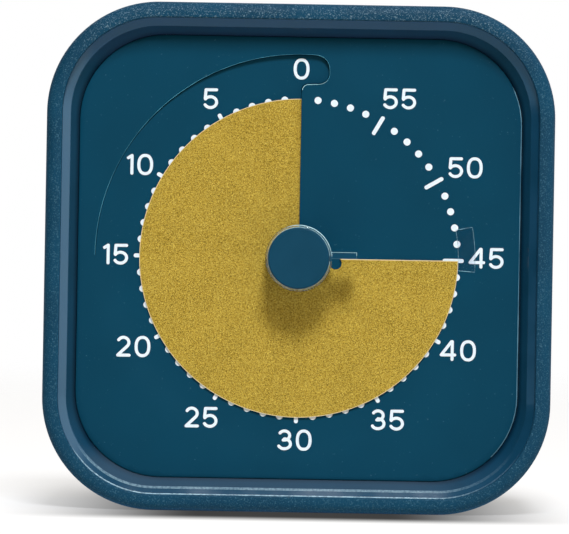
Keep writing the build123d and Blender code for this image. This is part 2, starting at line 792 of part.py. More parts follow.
rotor_leaves = gear(
    pinion_outline(fine_module, direction(rotor_at, step_at)),
    rotor_at,
    step_depth - mesh_margin,
    wheel_thickness + 2 * mesh_margin,
)
rotor_arbor = arbor(rotor_at)
with BuildPart() as rotor_pinion:
    add(rotor_leaves)
    add(rotor_arbor)
rotor_pinion.part.label = "rotor_pinion"
export_step(rotor_pinion.part, "parts/rotor_pinion.step")

with BuildPart() as rotor_magnet:
    with BuildSketch(movement_plane(rotor_magnet_depth + rotor_magnet_length)):
        with Locations(rotor_at):
            Circle(rotor_magnet_radius)
            Circle(arbor_radius, mode=Mode.SUBTRACT)
    extrude(amount=rotor_magnet_length)
rotor_magnet.part.label = "rotor_magnet"
export_step(rotor_magnet.part, "parts/rotor_magnet.step")

# ---- stepping motor ----------------------------------------------------------------------------
coil_v = rotor_at[1] + coil_offset
stator_high = coil_v + stator_arm / 2
arm_places = [stator_left + stator_arm / 2, stator_right - stator_arm / 2]
with BuildPart() as stator:
    with BuildSketch(movement_plane(stator_depth + stator_thickness)):
        with Locations((stator_left, rotor_at[1] - stator_bar / 2)):
            Rectangle(stator_right - stator_left, stator_bar, align=(Align.MIN, Align.MIN))
        for arm_x in arm_places:
            with Locations((arm_x, rotor_at[1])):
                Rectangle(stator_arm, stator_high - rotor_at[1], align=(Align.CENTER, Align.MIN))
        with Locations(rotor_at):
            Circle(stator_pole)
            Circle(rotor_magnet_radius + stator_gap, mode=Mode.SUBTRACT)
    extrude(amount=stator_thickness)
stator.part.label = "stator"
export_step(stator.part, "parts/stator.step")

core_depth = stator_depth + stator_thickness
with BuildPart() as coil_core:
    with BuildSketch(movement_plane(core_depth + stator_thickness)):
        with Locations((stator_left, coil_v)):
            Rectangle(stator_right - stator_left, coil_core_width, align=(Align.MIN, Align.CENTER))
        for arm_x in arm_places:
            with Locations((arm_x, coil_v)):
                Rectangle(stator_arm, stator_arm)
    extrude(amount=stator_thickness)
coil_core.part.label = "coil_core"
export_step(coil_core.part, "parts/coil_core.step")

coil_left = stator_left + stator_arm + coil_flange / 4
coil_right = stator_right - stator_arm - coil_flange / 4
coil_axis_plane = Plane(
    origin=(coil_left, movement_inner_y + core_depth + stator_thickness / 2, axis_height + coil_v),
    x_dir=(0, 1, 0),
    z_dir=(1, 0, 0),
)
with BuildPart() as coil_bobbin:
    with BuildSketch(coil_axis_plane):
        Circle(coil_former_radius)
    extrude(amount=coil_right - coil_left)
    with BuildSketch(coil_axis_plane, coil_axis_plane.offset(coil_right - coil_left - coil_flange)):
        Circle(coil_flange_radius)
    extrude(amount=coil_flange)
    with BuildSketch(coil_axis_plane):
        Rectangle(stator_thickness, coil_core_width)
    extrude(amount=coil_right - coil_left, mode=Mode.SUBTRACT)
coil_bobbin.part.label = "coil_bobbin"
export_step(coil_bobbin.part, "parts/coil_bobbin.step")

with BuildPart() as coil_winding:
    with BuildSketch(coil_axis_plane.offset(coil_flange)):
        Circle(coil_radius)
        Circle(coil_former_radius, mode=Mode.SUBTRACT)
    extrude(amount=coil_right - coil_left - 2 * coil_flange)
coil_winding.part.label = "coil_winding"
export_step(coil_winding.part, "parts/coil_winding.step")

# ---- circuit board, crystal and alarm contacts -------------------------------------------------
board_back = board_depth + board_thickness
board_right = movement_cavity / 2 - board_side_room
board_low = board_low_room - movement_cavity / 2
board_post_places = [
    (board_right - board_post_inset, board_low + board_post_inset),
    (board_right - board_post_inset, board_high - board_post_inset),
    (board_left + board_post_inset, board_low + board_post_inset),
]
with BuildPart() as circuit_board:
    with BuildSketch(movement_plane(board_back)):
        with Locations(((board_left + board_right) / 2, (board_low + board_high) / 2)):
            RectangleRounded(board_right - board_left, board_high - board_low, board_corner)
    extrude(amount=board_thickness)
    # the timing circuit under its blob of resin
    with BuildSketch(movement_plane(board_back)):
        with Locations(((board_left + board_right) / 2, (board_low + board_high) / 2)):
            Circle(blob_radius)
    extrude(amount=-blob_height, taper=blob_taper)
circuit_board.part.label = "circuit_board"
export_step(circuit_board.part, "parts/circuit_board.step")

crystal_at = (board_right - crystal_inset, board_low + crystal_rise)
with BuildPart() as quartz_crystal:
    crystal_y = movement_inner_y + board_back + crystal_radius
    with BuildSketch(Plane(origin=(crystal_at[0], crystal_y, axis_height + crystal_at[1]))):
        Circle(crystal_radius)
    extrude(amount=-crystal_length)
    fillet(quartz_crystal.faces().sort_by(Axis.Z)[0].edges(), radius=crystal_edge)
quartz_crystal.part.label = "quartz_crystal"
export_step(quartz_crystal.part, "parts/quartz_crystal.step")

leaf_nose = cam_radius + leaf_clearance
leaf_foot = (board_left + leaf_foot_inset, leaf_foot_v)
with BuildPart() as alarm_spring:
    # a bent leaf, standing on the board and following the rim of the cam
    with BuildSketch(movement_plane(board_back + leaf_width)):
        with BuildLine():
            Polyline(
                (leaf_foot[0], leaf_foot[1]),
                (leaf_nose + leaf_thickness + leaf_bend, -leaf_bend_v),
                (leaf_nose + leaf_thickness / 2, 0),
                (leaf_nose + leaf_thickness + leaf_bend, leaf_bend_v),
            )
        trace(line_width=leaf_thickness)
        with Locations(leaf_foot):
            Rectangle(leaf_foot_size, leaf_foot_size)
    extrude(amount=leaf_width)
alarm_spring.part.label = "alarm_spring"
export_step(alarm_spring.part, "parts/alarm_spring.step")

contact_post_at = (board_left + contact_post[0], contact_post_v)
with BuildPart() as alarm_contact:
    with BuildSketch(movement_plane(board_back + leaf_width)):
        with Locations(contact_post_at):
            RectangleRounded(contact_post[0], contact_post[1], contact_post_edge)
    extrude(amount=leaf_width)
alarm_contact.part.label = "alarm_contact"
export_step(alarm_contact.part, "parts/alarm_contact.step")

# ---- movement case -----------------------------------------------------------------------------
pivot_places = [third_at, second_at, step_at, rotor_at]
stator_post_places = [(arm_x, coil_v - stator_arm) for arm_x in arm_places]
seam_y = movement_inner_y + movement_split
with BuildPart() as movement_front:
    with BuildSketch(dial_plane(seam_y)):
        RectangleRounded(movement_width, movement_width, movement_corner)
    extrude(amount=seam_y - movement_front_y)
    with BuildSketch(dial_plane(seam_y)):
        RectangleRounded(movement_cavity, movement_cavity, movement_corner - movement_wall)
    extrude(amount=movement_split, mode=Mode.SUBTRACT)
    with BuildSketch(dial_plane(seam_y)) as ears:
        with Locations(*ear_places):
            Circle(ear_radius)
        Rectangle(2 * ear_reach, 2 * ear_radius)
        Rectangle(movement_width - movement_wall, 3 * ear_radius, mode=Mode.SUBTRACT)
    extrude(amount=ear_thickness)
    with BuildSketch(dial_plane(seam_y)):
        with Locations(*ear_places):
            Circle(small_screw_radius)
    extrude(amount=ear_thickness, mode=Mode.SUBTRACT)
    with BuildSketch(movement_plane(board_depth)):
        with Locations(*board_post_places):
            Circle(board_post_radius)
    extrude(amount=board_depth)
    with BuildSketch(movement_plane(stator_depth)):
        with Locations(*stator_post_places):
            Circle(board_post_radius)
    extrude(amount=stator_depth)
    with BuildSketch(dial_plane(movement_inner_y)):
        Circle(spindle_radius + running_fit)
    extrude(amount=movement_wall, mode=Mode.SUBTRACT)
    with BuildSketch(dial_plane(movement_inner_y)):
        with Locations(*pivot_places):
            Circle(pivot_radius + running_fit)
    extrude(amount=pivot_depth + running_fit, mode=Mode.SUBTRACT)
movement_front.part.label = "movement_front"
export_step(movement_front.part, "parts/movement_front.step")

lead_places = {
    "positive": (board_right - 2 * lead_pitch, cell_height - axis_height),
    "negative": (board_left + board_post_inset, cell_height - axis_height),
    "buzzer_a": (board_left + lead_inset + lead_pitch, board_high - lead_pitch),
    "buzzer_b": (board_left + lead_inset + 2 * lead_pitch, board_high - lead_pitch),
    "switch_a": (board_right - lead_inset - lead_pitch, -lead_inset),
    "switch_b": (board_right - lead_inset, -lead_inset),
}
with BuildPart() as movement_rear:
    with BuildSketch(dial_plane(movement_back_y)):
        RectangleRounded(movement_width, movement_width, movement_corner)
    extrude(amount=movement_back_y - seam_y)
    fillet(movement_rear.faces().sort_by(Axis.Y)[-1].edges(), radius=rear_edge)
    with BuildSketch(movement_plane(movement_room)):
        RectangleRounded(movement_cavity, movement_cavity, movement_corner - movement_wall)
    extrude(amount=movement_room - movement_split, mode=Mode.SUBTRACT)
    with BuildSketch(movement_plane(movement_room)):
        with Locations(*pivot_places):
            Circle(pivot_radius + running_fit)
    extrude(amount=-pivot_depth - running_fit, mode=Mode.SUBTRACT)
    with BuildSketch(movement_plane(movement_room)):
        Circle(back_pivot_radius + running_fit)
        with Locations(*lead_places.values()):
            Circle(lead_hole_radius)
    extrude(amount=-movement_wall, mode=Mode.SUBTRACT)
movement_rear.part.label = "movement_rear"
export_step(movement_rear.part, "parts/movement_rear.step")

with BuildPart() as movement_screws:
    with BuildSketch(dial_plane(seam_y)):
        with Locations(*ear_places):
            Circle(small_screw_radius)
    extrude(amount=small_screw_length)
    with BuildSketch(dial_plane(seam_y)):
        with Locations(*ear_places):
            Circle(small_screw_head)
    extrude(amount=-small_screw_head_height)
movement_screws.part.label = "movement_screws"
export_step(movement_screws.part, "parts/movement_screws.step")

# ---- rear housing ------------------------------------------------------------------------------
cell_v = cell_height - axis_height
bay_length = cell_length + contact_thickness + spring_room
bay_height = 2 * (cell_radius + cell_fit)
door_inner_y = housing_back_y - door_thickness
bay_floor_y = door_inner_y - 2 * cell_radius - 2 * cell_fit
bay_front_y = bay_floor_y - bay_floor
door_width = bay_length + 2 * door_margin
door_height = bay_height + 2 * door_margin
hinge_y = housing_back_y - door_thickness / 2
hinge_v = cell_v + door_height / 2 - door_thickness / 2
wall_inner_y = housing_back_y - housing_wall
tail_places = [
    (-bay_length / 2 + contact_thickness / 2, cell_v),
    (bay_length / 2 - contact_thickness / 2, cell_v),
]
with BuildPart() as rear_housing:
    with BuildSketch(dial_plane(housing_back_y)):
        RectangleRounded(housing_width, housing_width, corner_at(housing_inset))
    extrude(amount=housing_back_y - parting_y)
    fillet(rear_housing.faces().sort_by(Axis.Y)[-1].edges(), radius=housing_edge)
    with BuildSketch(dial_plane(wall_inner_y)):
        RectangleRounded(cavity_width, cavity_width, corner_at(housing_inset + housing_wall))
    extrude(amount=wall_inner_y - parting_y, mode=Mode.SUBTRACT)
    # a tongue that laps inside the front housing
    tongue = cavity_width - 2 * lap_fit
    tongue_corner = corner_at(housing_inset + housing_wall + lap_fit)
    with BuildSketch(dial_plane(parting_y + lap_depth)):
        RectangleRounded(cavity_width, cavity_width, corner_at(housing_inset + housing_wall))
        RectangleRounded(
            tongue - 2 * lap_wall, tongue - 2 * lap_wall, tongue_corner - lap_wall, mode=Mode.SUBTRACT
        )
    extrude(amount=lap_depth)
    with BuildSketch(dial_plane(parting_y)):
        RectangleRounded(tongue, tongue, tongue_corner)
        RectangleRounded(
            tongue - 2 * lap_wall, tongue - 2 * lap_wall, tongue_corner - lap_wall, mode=Mode.SUBTRACT
        )
    extrude(amount=lap_depth)
    # battery bay
    with BuildSketch(dial_plane(wall_inner_y)):
        with Locations((0, cell_v)):
            Rectangle(bay_length + 2 * bay_wall, bay_height + 2 * bay_wall)
    extrude(amount=wall_inner_y - bay_front_y)
    with BuildSketch(dial_plane(housing_back_y)):
        with Locations((0, cell_v)):
            Rectangle(bay_length, bay_height)
    extrude(amount=housing_back_y - bay_floor_y, mode=Mode.SUBTRACT)
    with BuildSketch(dial_plane(housing_back_y)):
        with Locations((0, cell_v)):
            RectangleRounded(
                door_width + 2 * door_fit, door_height + 2 * door_fit, door_corner + door_fit
            )
            # the corners at the hinge are square, to clear the door as it swings
            Rectangle(
                door_width + 2 * door_fit, door_height / 2 + door_fit, align=(Align.CENTER, Align.MIN)
            )
    extrude(amount=door_thickness + door_fit, mode=Mode.SUBTRACT)
    with BuildSketch(Plane(origin=(0, hinge_y, axis_height + hinge_v), z_dir=(1, 0, 0))):
        Circle(hinge_pin_radius + running_fit)
    extrude(amount=door_width / 2 + hinge_pin_length + door_fit, both=True, mode=Mode.SUBTRACT)
    with BuildSketch(dial_plane(bay_floor_y)):
        with Locations(*tail_places):
            Rectangle(2 * contact_thickness, tail_width + 2 * running_fit)
    extrude(amount=bay_floor, mode=Mode.SUBTRACT)
    # sounder ring and grille
    with BuildSketch(dial_plane(wall_inner_y)):
        with Locations(buzzer_at):
            Circle(buzzer_radius + running_fit + buzzer_holder_wall)
            Circle(buzzer_radius + running_fit, mode=Mode.SUBTRACT)
    extrude(amount=buzzer_holder_height)
    with BuildSketch(dial_plane(housing_back_y)):
        with Locations(buzzer_at):
            with GridLocations(0, grille_pitch, 1, grille_slots):
                SlotOverall(grille_length, grille_width)
    extrude(amount=housing_wall, mode=Mode.SUBTRACT)
    # slot of the sound switch
    with BuildSketch(dial_plane(housing_back_y)):
        with Locations(switch_at):
            RectangleRounded(
                switch_cap[0] + switch_travel + 2 * switch_clearance,
                switch_cap[1] + 2 * switch_clearance,
                switch_clearance,
            )
    extrude(amount=housing_wall, mode=Mode.SUBTRACT)
    # screw tubes
    with BuildSketch(dial_plane(wall_inner_y)):
        with Locations(*boss_places):
            Circle(boss_radius + screw_tube_wall)
    extrude(amount=wall_inner_y - parting_y)
    with BuildSketch(dial_plane(housing_back_y)):
        with Locations(*boss_places):
            Circle(screw_recess_radius)
    extrude(amount=screw_recess, mode=Mode.SUBTRACT)
    with BuildSketch(dial_plane(housing_back_y)):
        with Locations(*boss_places):
            Circle(screw_radius)
    extrude(amount=housing_back_y - parting_y, mode=Mode.SUBTRACT)
rear_housing.part.label = "rear_housing"
export_step(rear_housing.part, "parts/rear_housing.step")

with BuildPart() as housing_screws:
    seat_y = housing_back_y - screw_recess
    with BuildSketch(dial_plane(seat_y)):
        with Locations(*boss_places):
            Circle(screw_radius)
    extrude(amount=seat_y - parting_y + screw_bite)
    with BuildSketch(dial_plane(seat_y)):
        with Locations(*boss_places):
            Circle(screw_head_radius)
            RegularPolygon(screw_drive, 4, mode=Mode.SUBTRACT)
    extrude(amount=-screw_head_height)
housing_screws.part.label = "housing_screws"
export_step(housing_screws.part, "parts/housing_screws.step")

# ---- battery door ------------------------------------------------------------------------------
with BuildPart() as battery_door:
    with BuildSketch(dial_plane(housing_back_y)):
        with Locations((0, cell_v)):
            RectangleRounded(door_width, door_height, door_corner)
    extrude(amount=door_thickness)
    # the hinge edge is a full round about the pins
    hinge_plane = Plane(origin=(0, hinge_y, axis_height + hinge_v), z_dir=(1, 0, 0))
    with BuildSketch(dial_plane(housing_back_y)):
        with Locations((0, hinge_v)):
            Rectangle(2 * door_width, door_thickness, align=(Align.CENTER, Align.MIN))
    extrude(amount=door_thickness, mode=Mode.SUBTRACT)
    with BuildSketch(hinge_plane):
        Circle(door_thickness / 2)
    extrude(amount=door_width / 2 - door_corner / 2, both=True)
    with BuildSketch(hinge_plane):
        Circle(hinge_pin_radius)
    extrude(amount=door_width / 2 + hinge_pin_length, both=True)
    # latch tongue at the free edge, and a thumb grip outside
    latch_low = hinge_v - math.sqrt(
        (hinge_v - cell_v + bay_height / 2 - latch_swing_room) ** 2
        - (door_thickness / 2 + latch_depth) ** 2
    )
    with BuildSketch(dial_plane(door_inner_y)):
        with Locations((0, latch_low)):
            Rectangle(latch_width, latch_thickness, align=(Align.CENTER, Align.MIN))
    extrude(amount=latch_depth)
    with BuildSketch(dial_plane(housing_back_y)):
        with Locations((0, cell_v - door_height / 2 - grip_radius / 2)):
            Circle(grip_radius)
        with Locations((0, cell_v)):
            Rectangle(door_width, door_height - 2 * door_corner, mode=Mode.INTERSECT)
    extrude(amount=grip_depth, mode=Mode.SUBTRACT)
battery_door.part.label = "battery_door"
export_step(battery_door.part, "parts/battery_door.step")

# ---- cell and contacts -------------------------------------------------------------------------
cell_y = bay_floor_y + cell_radius + cell_fit
nub_tip_x = bay_length / 2 - contact_thickness
cell_start_x = nub_tip_x - cell_length


def bay_plane(x):
    """A plane across the battery bay; its normal runs along +X."""
    return Plane(origin=(x, cell_y, cell_height), x_dir=(0, 1, 0), z_dir=(1, 0, 0))


with BuildPart() as aa_cell:
    with BuildSketch(bay_plane(cell_start_x)):
        Circle(cell_radius)
    extrude(amount=cell_length - cell_nub)
    fillet(aa_cell.faces().sort_by(Axis.X)[-1].edges(), radius=cell_edge)
    with BuildSketch(bay_plane(nub_tip_x - cell_nub)):
        Circle(cell_nub_radius)
    extrude(amount=cell_nub)
aa_cell.part.label = "aa_cell"
export_step(aa_cell.part, "parts/aa_cell.step")


def contact_plate(x, tail_at):
    """A contact plate across the bay, with a solder tail through the bay's floor."""
    with BuildPart() as plate:
        with BuildSketch(bay_plane(x)):
            Rectangle(contact_width, contact_width)
        extrude(amount=contact_thickness)
        with BuildSketch(dial_plane(cell_y)):
            with Locations(tail_at):
                Rectangle(contact_thickness, tail_width)
        extrude(amount=cell_y - bay_floor_y + tail_length)
    return plate.part


positive_plate = contact_plate(nub_tip_x, tail_places[1])
with BuildPart() as positive_contact:
    add(positive_plate)
positive_contact.part.label = "positive_contact"
export_step(positive_contact.part, "parts/positive_contact.step")

spring_start_x = -bay_length / 2 + contact_thickness + coil_wire
spring_length = cell_start_x - coil_wire - spring_start_x
negative_plate = contact_plate(-bay_length / 2, tail_places[0])
with BuildPart() as negative_contact:
    add(negative_plate)
    # a conical spring, wound from the plate to the flat end of the cell
    with BuildLine() as spring_path:
        Helix(
            pitch=spring_length / coil_turns,
            height=spring_length,
            radius=spring_coil_radius,
            center=(spring_start_x, cell_y, cell_height),
            direction=(1, 0, 0),
            cone_angle=spring_cone,
        )
    with BuildSketch(Plane(origin=spring_path.line @ 0, z_dir=spring_path.line % 0)):
        Circle(coil_wire)
    sweep(is_frenet=True)
    foot = spring_path.line @ 0
    with BuildSketch(bay_plane(-bay_length / 2 + contact_thickness)):
        with Locations((foot.Y - cell_y, foot.Z - cell_height)):
            Circle(coil_wire)
    extrude(amount=coil_wire)
negative_contact.part.label = "negative_contact"
export_step(negative_contact.part, "parts/negative_contact.step")

# ---- sounder and sound switch ------------------------------------------------------------------
with BuildPart() as buzzer:
    with BuildSketch(dial_plane(wall_inner_y)):
        with Locations(buzzer_at):
            Circle(buzzer_radius)
    extrude(amount=buzzer_thickness)
    chamfer(buzzer.faces().sort_by(Axis.Y)[0].edges(), length=buzzer_chamfer)
    with BuildSketch(dial_plane(wall_inner_y)):
        with Locations(buzzer_at):
            Circle(buzzer_radius - buzzer_rim)
    extrude(amount=buzzer_recess, mode=Mode.SUBTRACT)
buzzer.part.label = "buzzer"
export_step(buzzer.part, "parts/buzzer.step")

with BuildPart() as switch_body:
    with BuildSketch(dial_plane(wall_inner_y)):
        with Locations(switch_at):
            RectangleRounded(switch_size[0], switch_size[1], switch_corner)
    extrude(amount=switch_size[2])
    with BuildSketch(dial_plane(wall_inner_y)):
        with Locations(switch_at):
            Rectangle(
                switch_base[0] + switch_travel + 2 * switch_clearance,
                switch_base[1] + 2 * switch_clearance,
            )
    extrude(amount=switch_base[2] + 2 * switch_clearance, mode=Mode.SUBTRACT)
switch_body.part.label = "switch_body"
export_step(switch_body.part, "parts/switch_body.step")

switch_rest = (switch_at[0] - switch_travel / 2, switch_at[1])
with BuildPart() as switch_slider:
    with BuildSketch(dial_plane(wall_inner_y - switch_clearance)):
        with Locations(switch_rest):
            Rectangle(switch_base[0], switch_base[1])
    extrude(amount=switch_base[2])
    with BuildSketch(dial_plane(housing_back_y + switch_cap_proud)):
        with Locations(switch_rest):
            Rectangle(switch_cap[0], switch_cap[1])
    extrude(amount=housing_wall + switch_clearance + switch_cap_proud)
    # finger ribs on the cap
    with BuildSketch(dial_plane(housing_back_y + switch_cap_proud)):
        with Locations(switch_rest):
            with GridLocations(switch_rib_pitch, 0, switch_ribs, 1):
                Rectangle(switch_rib_groove, switch_cap[1])
    extrude(amount=switch_rib_depth, mode=Mode.SUBTRACT)
switch_slider.part.label = "switch_slider"
export_step(switch_slider.part, "parts/switch_slider.step")


# ---- leads -------------------------------------------------------------------------------------
def lead(points):
    """An insulated lead along a route of straight runs and arcs."""
    with BuildPart() as wire:
        with BuildLine() as route:
            FilletPolyline(*points, radius=lead_bend)
        with BuildSketch(Plane(origin=route.line @ 0, z_dir=route.line % 0)):
            Circle(lead_radius)
        sweep()
    return wire.part


def route_to_board(start, place):
    """Points of a lead: forwards to the gap before the movement, across, and down to the board."""
    x, v = lead_places[place]
    points = [start] if abs(start[1] - lead_gap_y) > lead_bend else []
    points.append((start[0], lead_gap_y, start[2]))
    points.append((x, lead_gap_y, axis_height + v))
    points.append((x, movement_inner_y + board_back, axis_height + v))
    return [point for n, point in enumerate(points) if n == 0 or point != points[n - 1]]


def lead_pair(label, starts):
    """Two like leads in one node."""
    wires = [lead(route_to_board(start, place)) for place, start in starts.items()]
    with BuildPart() as pair:
        for wire in wires:
            add(wire)
    pair.part.label = label
    export_step(pair.part, f"parts/{label}.step")


for side, tail_at, terminal in ((1, tail_places[1], "positive"), (-1, tail_places[0], "negative")):
    tail_face = (tail_at[0] - side * contact_thickness / 2, lead_gap_y, cell_height)
    battery_wire = lead(route_to_board(tail_face, terminal))
    battery_wire.label = f"{terminal}_lead"
    export_step(battery_wire, f"parts/{terminal}_lead.step")

buzzer_face_y = wall_inner_y - buzzer_thickness
buzzer_z = axis_height + buzzer_at[1]
lead_pair("buzzer_leads", {
    "buzzer_a": (buzzer_at[0] - buzzer_terminals[0], buzzer_face_y, buzzer_z - buzzer_terminals[1]),
    "buzzer_b": (buzzer_at[0] + buzzer_terminals[0], buzzer_face_y, buzzer_z + buzzer_terminals[1]),
})
switch_face_y = wall_inner_y - switch_size[2]
lead_pair("switch_leads", {
    "switch_a": (lead_places["switch_a"][0], switch_face_y, axis_height + switch_at[1]),
    "switch_b": (lead_places["switch_b"][0], switch_face_y, axis_height + switch_at[1]),
})
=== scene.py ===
import math
import bmesh
import bpy
from mathutils import Matrix, Vector
from mathutils.geometry import delaunay_2d_cdt


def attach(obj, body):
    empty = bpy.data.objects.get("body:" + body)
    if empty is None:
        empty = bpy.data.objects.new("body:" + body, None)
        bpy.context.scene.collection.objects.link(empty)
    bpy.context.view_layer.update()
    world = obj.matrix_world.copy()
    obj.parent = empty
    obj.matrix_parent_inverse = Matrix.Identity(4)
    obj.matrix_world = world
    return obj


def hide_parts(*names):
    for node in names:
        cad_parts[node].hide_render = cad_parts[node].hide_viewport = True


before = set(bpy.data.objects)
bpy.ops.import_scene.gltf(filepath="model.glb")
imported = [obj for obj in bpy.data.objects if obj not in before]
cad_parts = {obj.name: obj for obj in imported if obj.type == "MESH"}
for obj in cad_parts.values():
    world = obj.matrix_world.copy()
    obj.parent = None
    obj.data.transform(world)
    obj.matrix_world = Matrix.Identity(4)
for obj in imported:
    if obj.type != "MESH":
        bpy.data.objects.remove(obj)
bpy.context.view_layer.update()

# ---- studio ------------------------------------------------------------------
# A camera level with the dial's axis, a white table, one soft lamp above and to the front, and a
# pale surround that is brighter on the right.
collection = bpy.context.scene.collection
bpy.context.scene.view_settings.view_transform = "Standard"
mm = 0.001
axis_height = 44.5 * mm
dial_y = -16.9
dial_centre = Vector((0, dial_y * mm, axis_height))

picture_width = 569
seen_width, seen_depth = 99.61 * mm, -19.6 * mm
camera_distance = 0.8
lens = bpy.data.cameras.new("camera")
lens.sensor_width = 36.0
lens.lens = lens.sensor_width * camera_distance / seen_width
lens.shift_x, lens.shift_y = -14.2 / picture_width, -8.8 / picture_width
lens.clip_start, lens.clip_end = 0.05, 20
camera = bpy.data.objects.new("camera", lens)
collection.objects.link(camera)
camera.matrix_world = (
    Matrix.Translation((0, seen_depth - camera_distance, axis_height))
    @ Matrix.Rotation(math.radians(90), 4, "X")
    @ Matrix.Rotation(math.radians(1.0), 4, "Z")
)
bpy.context.scene.camera = camera

key_direction = Vector((0.9, -8.2, 9.0)).normalized()
key_distance = 2.0
key = bpy.data.lights.new("key", "AREA")
key.shape = "RECTANGLE"
key.size, key.size_y = 0.44, 0.56
key.energy = 44
key.color = (0.98, 0.98, 1.0)
key_lamp = bpy.data.objects.new("key", key)
collection.objects.link(key_lamp)
key_lamp.location = dial_centre + key_distance * key_direction
key_lamp.rotation_euler = (-key_direction).to_track_quat("-Z", "Y").to_euler()

surround = bpy.data.worlds.new("surround")
bpy.context.scene.world = surround
surround.use_nodes = True
sky = surround.node_tree
sky.nodes.clear()


def wired(node, inputs):
    """Sets a node's inputs, by name or number, each to a value or to another node's output."""
    for socket, value in inputs.items():
        if isinstance(value, bpy.types.NodeSocket):
            node.id_data.links.new(value, node.inputs[socket])
        else:
            node.inputs[socket].default_value = value
    return node


def add_node(tree, kind, inputs):
    """A new node with its inputs set."""
    return wired(tree.nodes.new(kind), inputs)


def spread(value, start, end, low=0, high=1, swing="LINEAR"):
    """The value's range from start to end laid over the range from low to high."""
    ruler = add_node(value.id_data, "ShaderNodeMapRange", {
        "Value": value, "From Min": start, "From Max": end, "To Min": low, "To Max": high,
    })
    ruler.interpolation_type = swing
    return ruler.outputs["Result"]


def ramp(value, start, end, low=0, high=1):
    """An even swing from low to high while the value runs from start to end."""
    return spread(value, start, end, low, high, "SMOOTHSTEP")


def combine(operation, first, second=0):
    """Arithmetic on one or two values, each a number or another node's output."""
    linked = first if isinstance(first, bpy.types.NodeSocket) else second
    result = add_node(linked.id_data, "ShaderNodeMath", {0: first, 1: second})
    result.operation = operation
    return result.outputs[0]


def product(first, *others):
    """Values multiplied with each other."""
    for other in others:
        first = combine("MULTIPLY", first, other)
    return first


def rest_of(share):
    """What a share leaves of one."""
    return combine("SUBTRACT", 1, share)


def axes_of(place):
    """A position's X, Y and Z, in metres."""
    return add_node(place.id_data, "ShaderNodeSeparateXYZ", {0: place}).outputs


def blended(share, first, second):
    """Two shaders mixed, with the second one's share."""
    return add_node(first.id_data, "ShaderNodeMixShader", {0: share, 1: first, 2: second}).outputs[0]


def backdrop(colour, strength):
    """Light from all round; its strength can be another node's output."""
    return add_node(sky, "ShaderNodeBackground", {"Color": (*colour, 1), "Strength": strength}).outputs[0]


# what lights matt surfaces, what shiny ones mirror, and the plain white that the camera sees
axes = axes_of(sky.nodes.new("ShaderNodeTexCoord").outputs["Generated"])
fill = backdrop((0.91, 0.72, 0.48), ramp(axes["X"], -0.9, 0.9, 0.0, 0.62))
right_card = ramp(axes["X"], 0.35, 0.85, 0.0, 2.9)
top_card = ramp(axes["Z"], 0.5, 0.95, 0.05, 0.9)
cards = backdrop((0.52, 0.93, 1.3), combine("ADD", right_card, top_card))
back_card = backdrop((0.95, 0.97, 1.0), ramp(axes["Y"], 0.1, 0.8, 0.0, 1.0))
gleam = blended(ramp(axes["Y"], 0.0, 0.3), cards, back_card)
white = backdrop((1, 1, 1), 1.0)
rays = sky.nodes.new("ShaderNodeLightPath").outputs
mirrored = blended(rays["Is Glossy Ray"], fill, gleam)
seen_rays = combine("MAXIMUM", rays["Is Camera Ray"], rays["Is Transmission Ray"])
add_node(sky, "ShaderNodeOutputWorld", {"Surface": blended(seen_rays, mirrored, white)})

# a white table that fades into the backdrop, with a painted shadow round and under the case
table_mesh = bpy.data.meshes.new("table")
table_net = bmesh.new()
bmesh.ops.create_circle(table_net, cap_ends=True, segments=96, radius=1.2)
table_net.to_mesh(table_mesh)
table_net.free()
table = bpy.data.objects.new("table", table_mesh)
collection.objects.link(table)
table_paint = bpy.data.materials.new("table_white")
table_paint.use_nodes = True
paint = table_paint.node_tree
paint.nodes.clear()
spot = paint.nodes.new("ShaderNodeTexCoord").outputs["Object"]
sides = axes_of(spot)
rays = paint.nodes.new("ShaderNodeLightPath").outputs
# the painted dark fades out to both sides, to the front and to the back
fade_aside, fade_front, fade_back = (16 * mm, 55 * mm), (-52 * mm, -33 * mm), (20 * mm, 90 * mm)
painted_shadow = product(
    ramp(combine("ABSOLUTE", sides["X"]), *fade_aside, 1, 0),
    ramp(sides["Y"], *fade_front),
    ramp(sides["Y"], *fade_back, 1, 0),
)
floor_level = rest_of(product(painted_shadow, 0.95))
# the camera sees less of the matt white, whose shadow is hard, and more of an even glow instead
matt_white, matt_seen, glow_seen = 0.9, 0.3, 0.76
seen_less = combine("SUBTRACT", matt_white, product(floor_level, matt_seen))
matt_level = combine("SUBTRACT", matt_white, product(rays["Is Camera Ray"], seen_less))
# what it throws back is cooler than the lamp in shiny parts, and warmer on matt ones; these are
# the shares of red, green and blue that glossy, diffuse and camera rays lose
matt_grey = paint.nodes.new("ShaderNodeCombineXYZ")
for channel, losses in zip(matt_grey.inputs, ((0.55, 0.0, 0.05), (0.2, 0.15, 0.03), (0.0, 0.32, 0.0))):
    lost = 0.0
    for kind, loss in zip(("Is Glossy Ray", "Is Diffuse Ray", "Is Camera Ray"), losses):
        lost = combine("ADD", lost, product(rays[kind], loss))
    paint.links.new(product(matt_level, rest_of(lost)), channel)
matt = add_node(paint, "ShaderNodeBsdfDiffuse", {"Color": matt_grey.outputs[0]})
glow_level = product(rays["Is Camera Ray"], glow_seen, floor_level)
glow = add_node(paint, "ShaderNodeEmission", {"Strength": glow_level})
# a painted reflection: the front of the table glows blue, but only to shiny surfaces
sheen_level = product(rays["Is Glossy Ray"], ramp(sides["Y"], -30 * mm, 0.0, 1.3, 0))
sheen = add_node(paint, "ShaderNodeEmission", {"Color": (0.3, 0.6, 1.0, 1), "Strength": sheen_level})
glows = add_node(paint, "ShaderNodeAddShader", {0: glow.outputs[0], 1: sheen.outputs[0]})
opaque = add_node(paint, "ShaderNodeAddShader", {0: matt.outputs[0], 1: glows.outputs[0]})
clear = paint.nodes.new("ShaderNodeBsdfTransparent")
reach = add_node(paint, "ShaderNodeVectorMath", {0: spot})
reach.operation = "LENGTH"
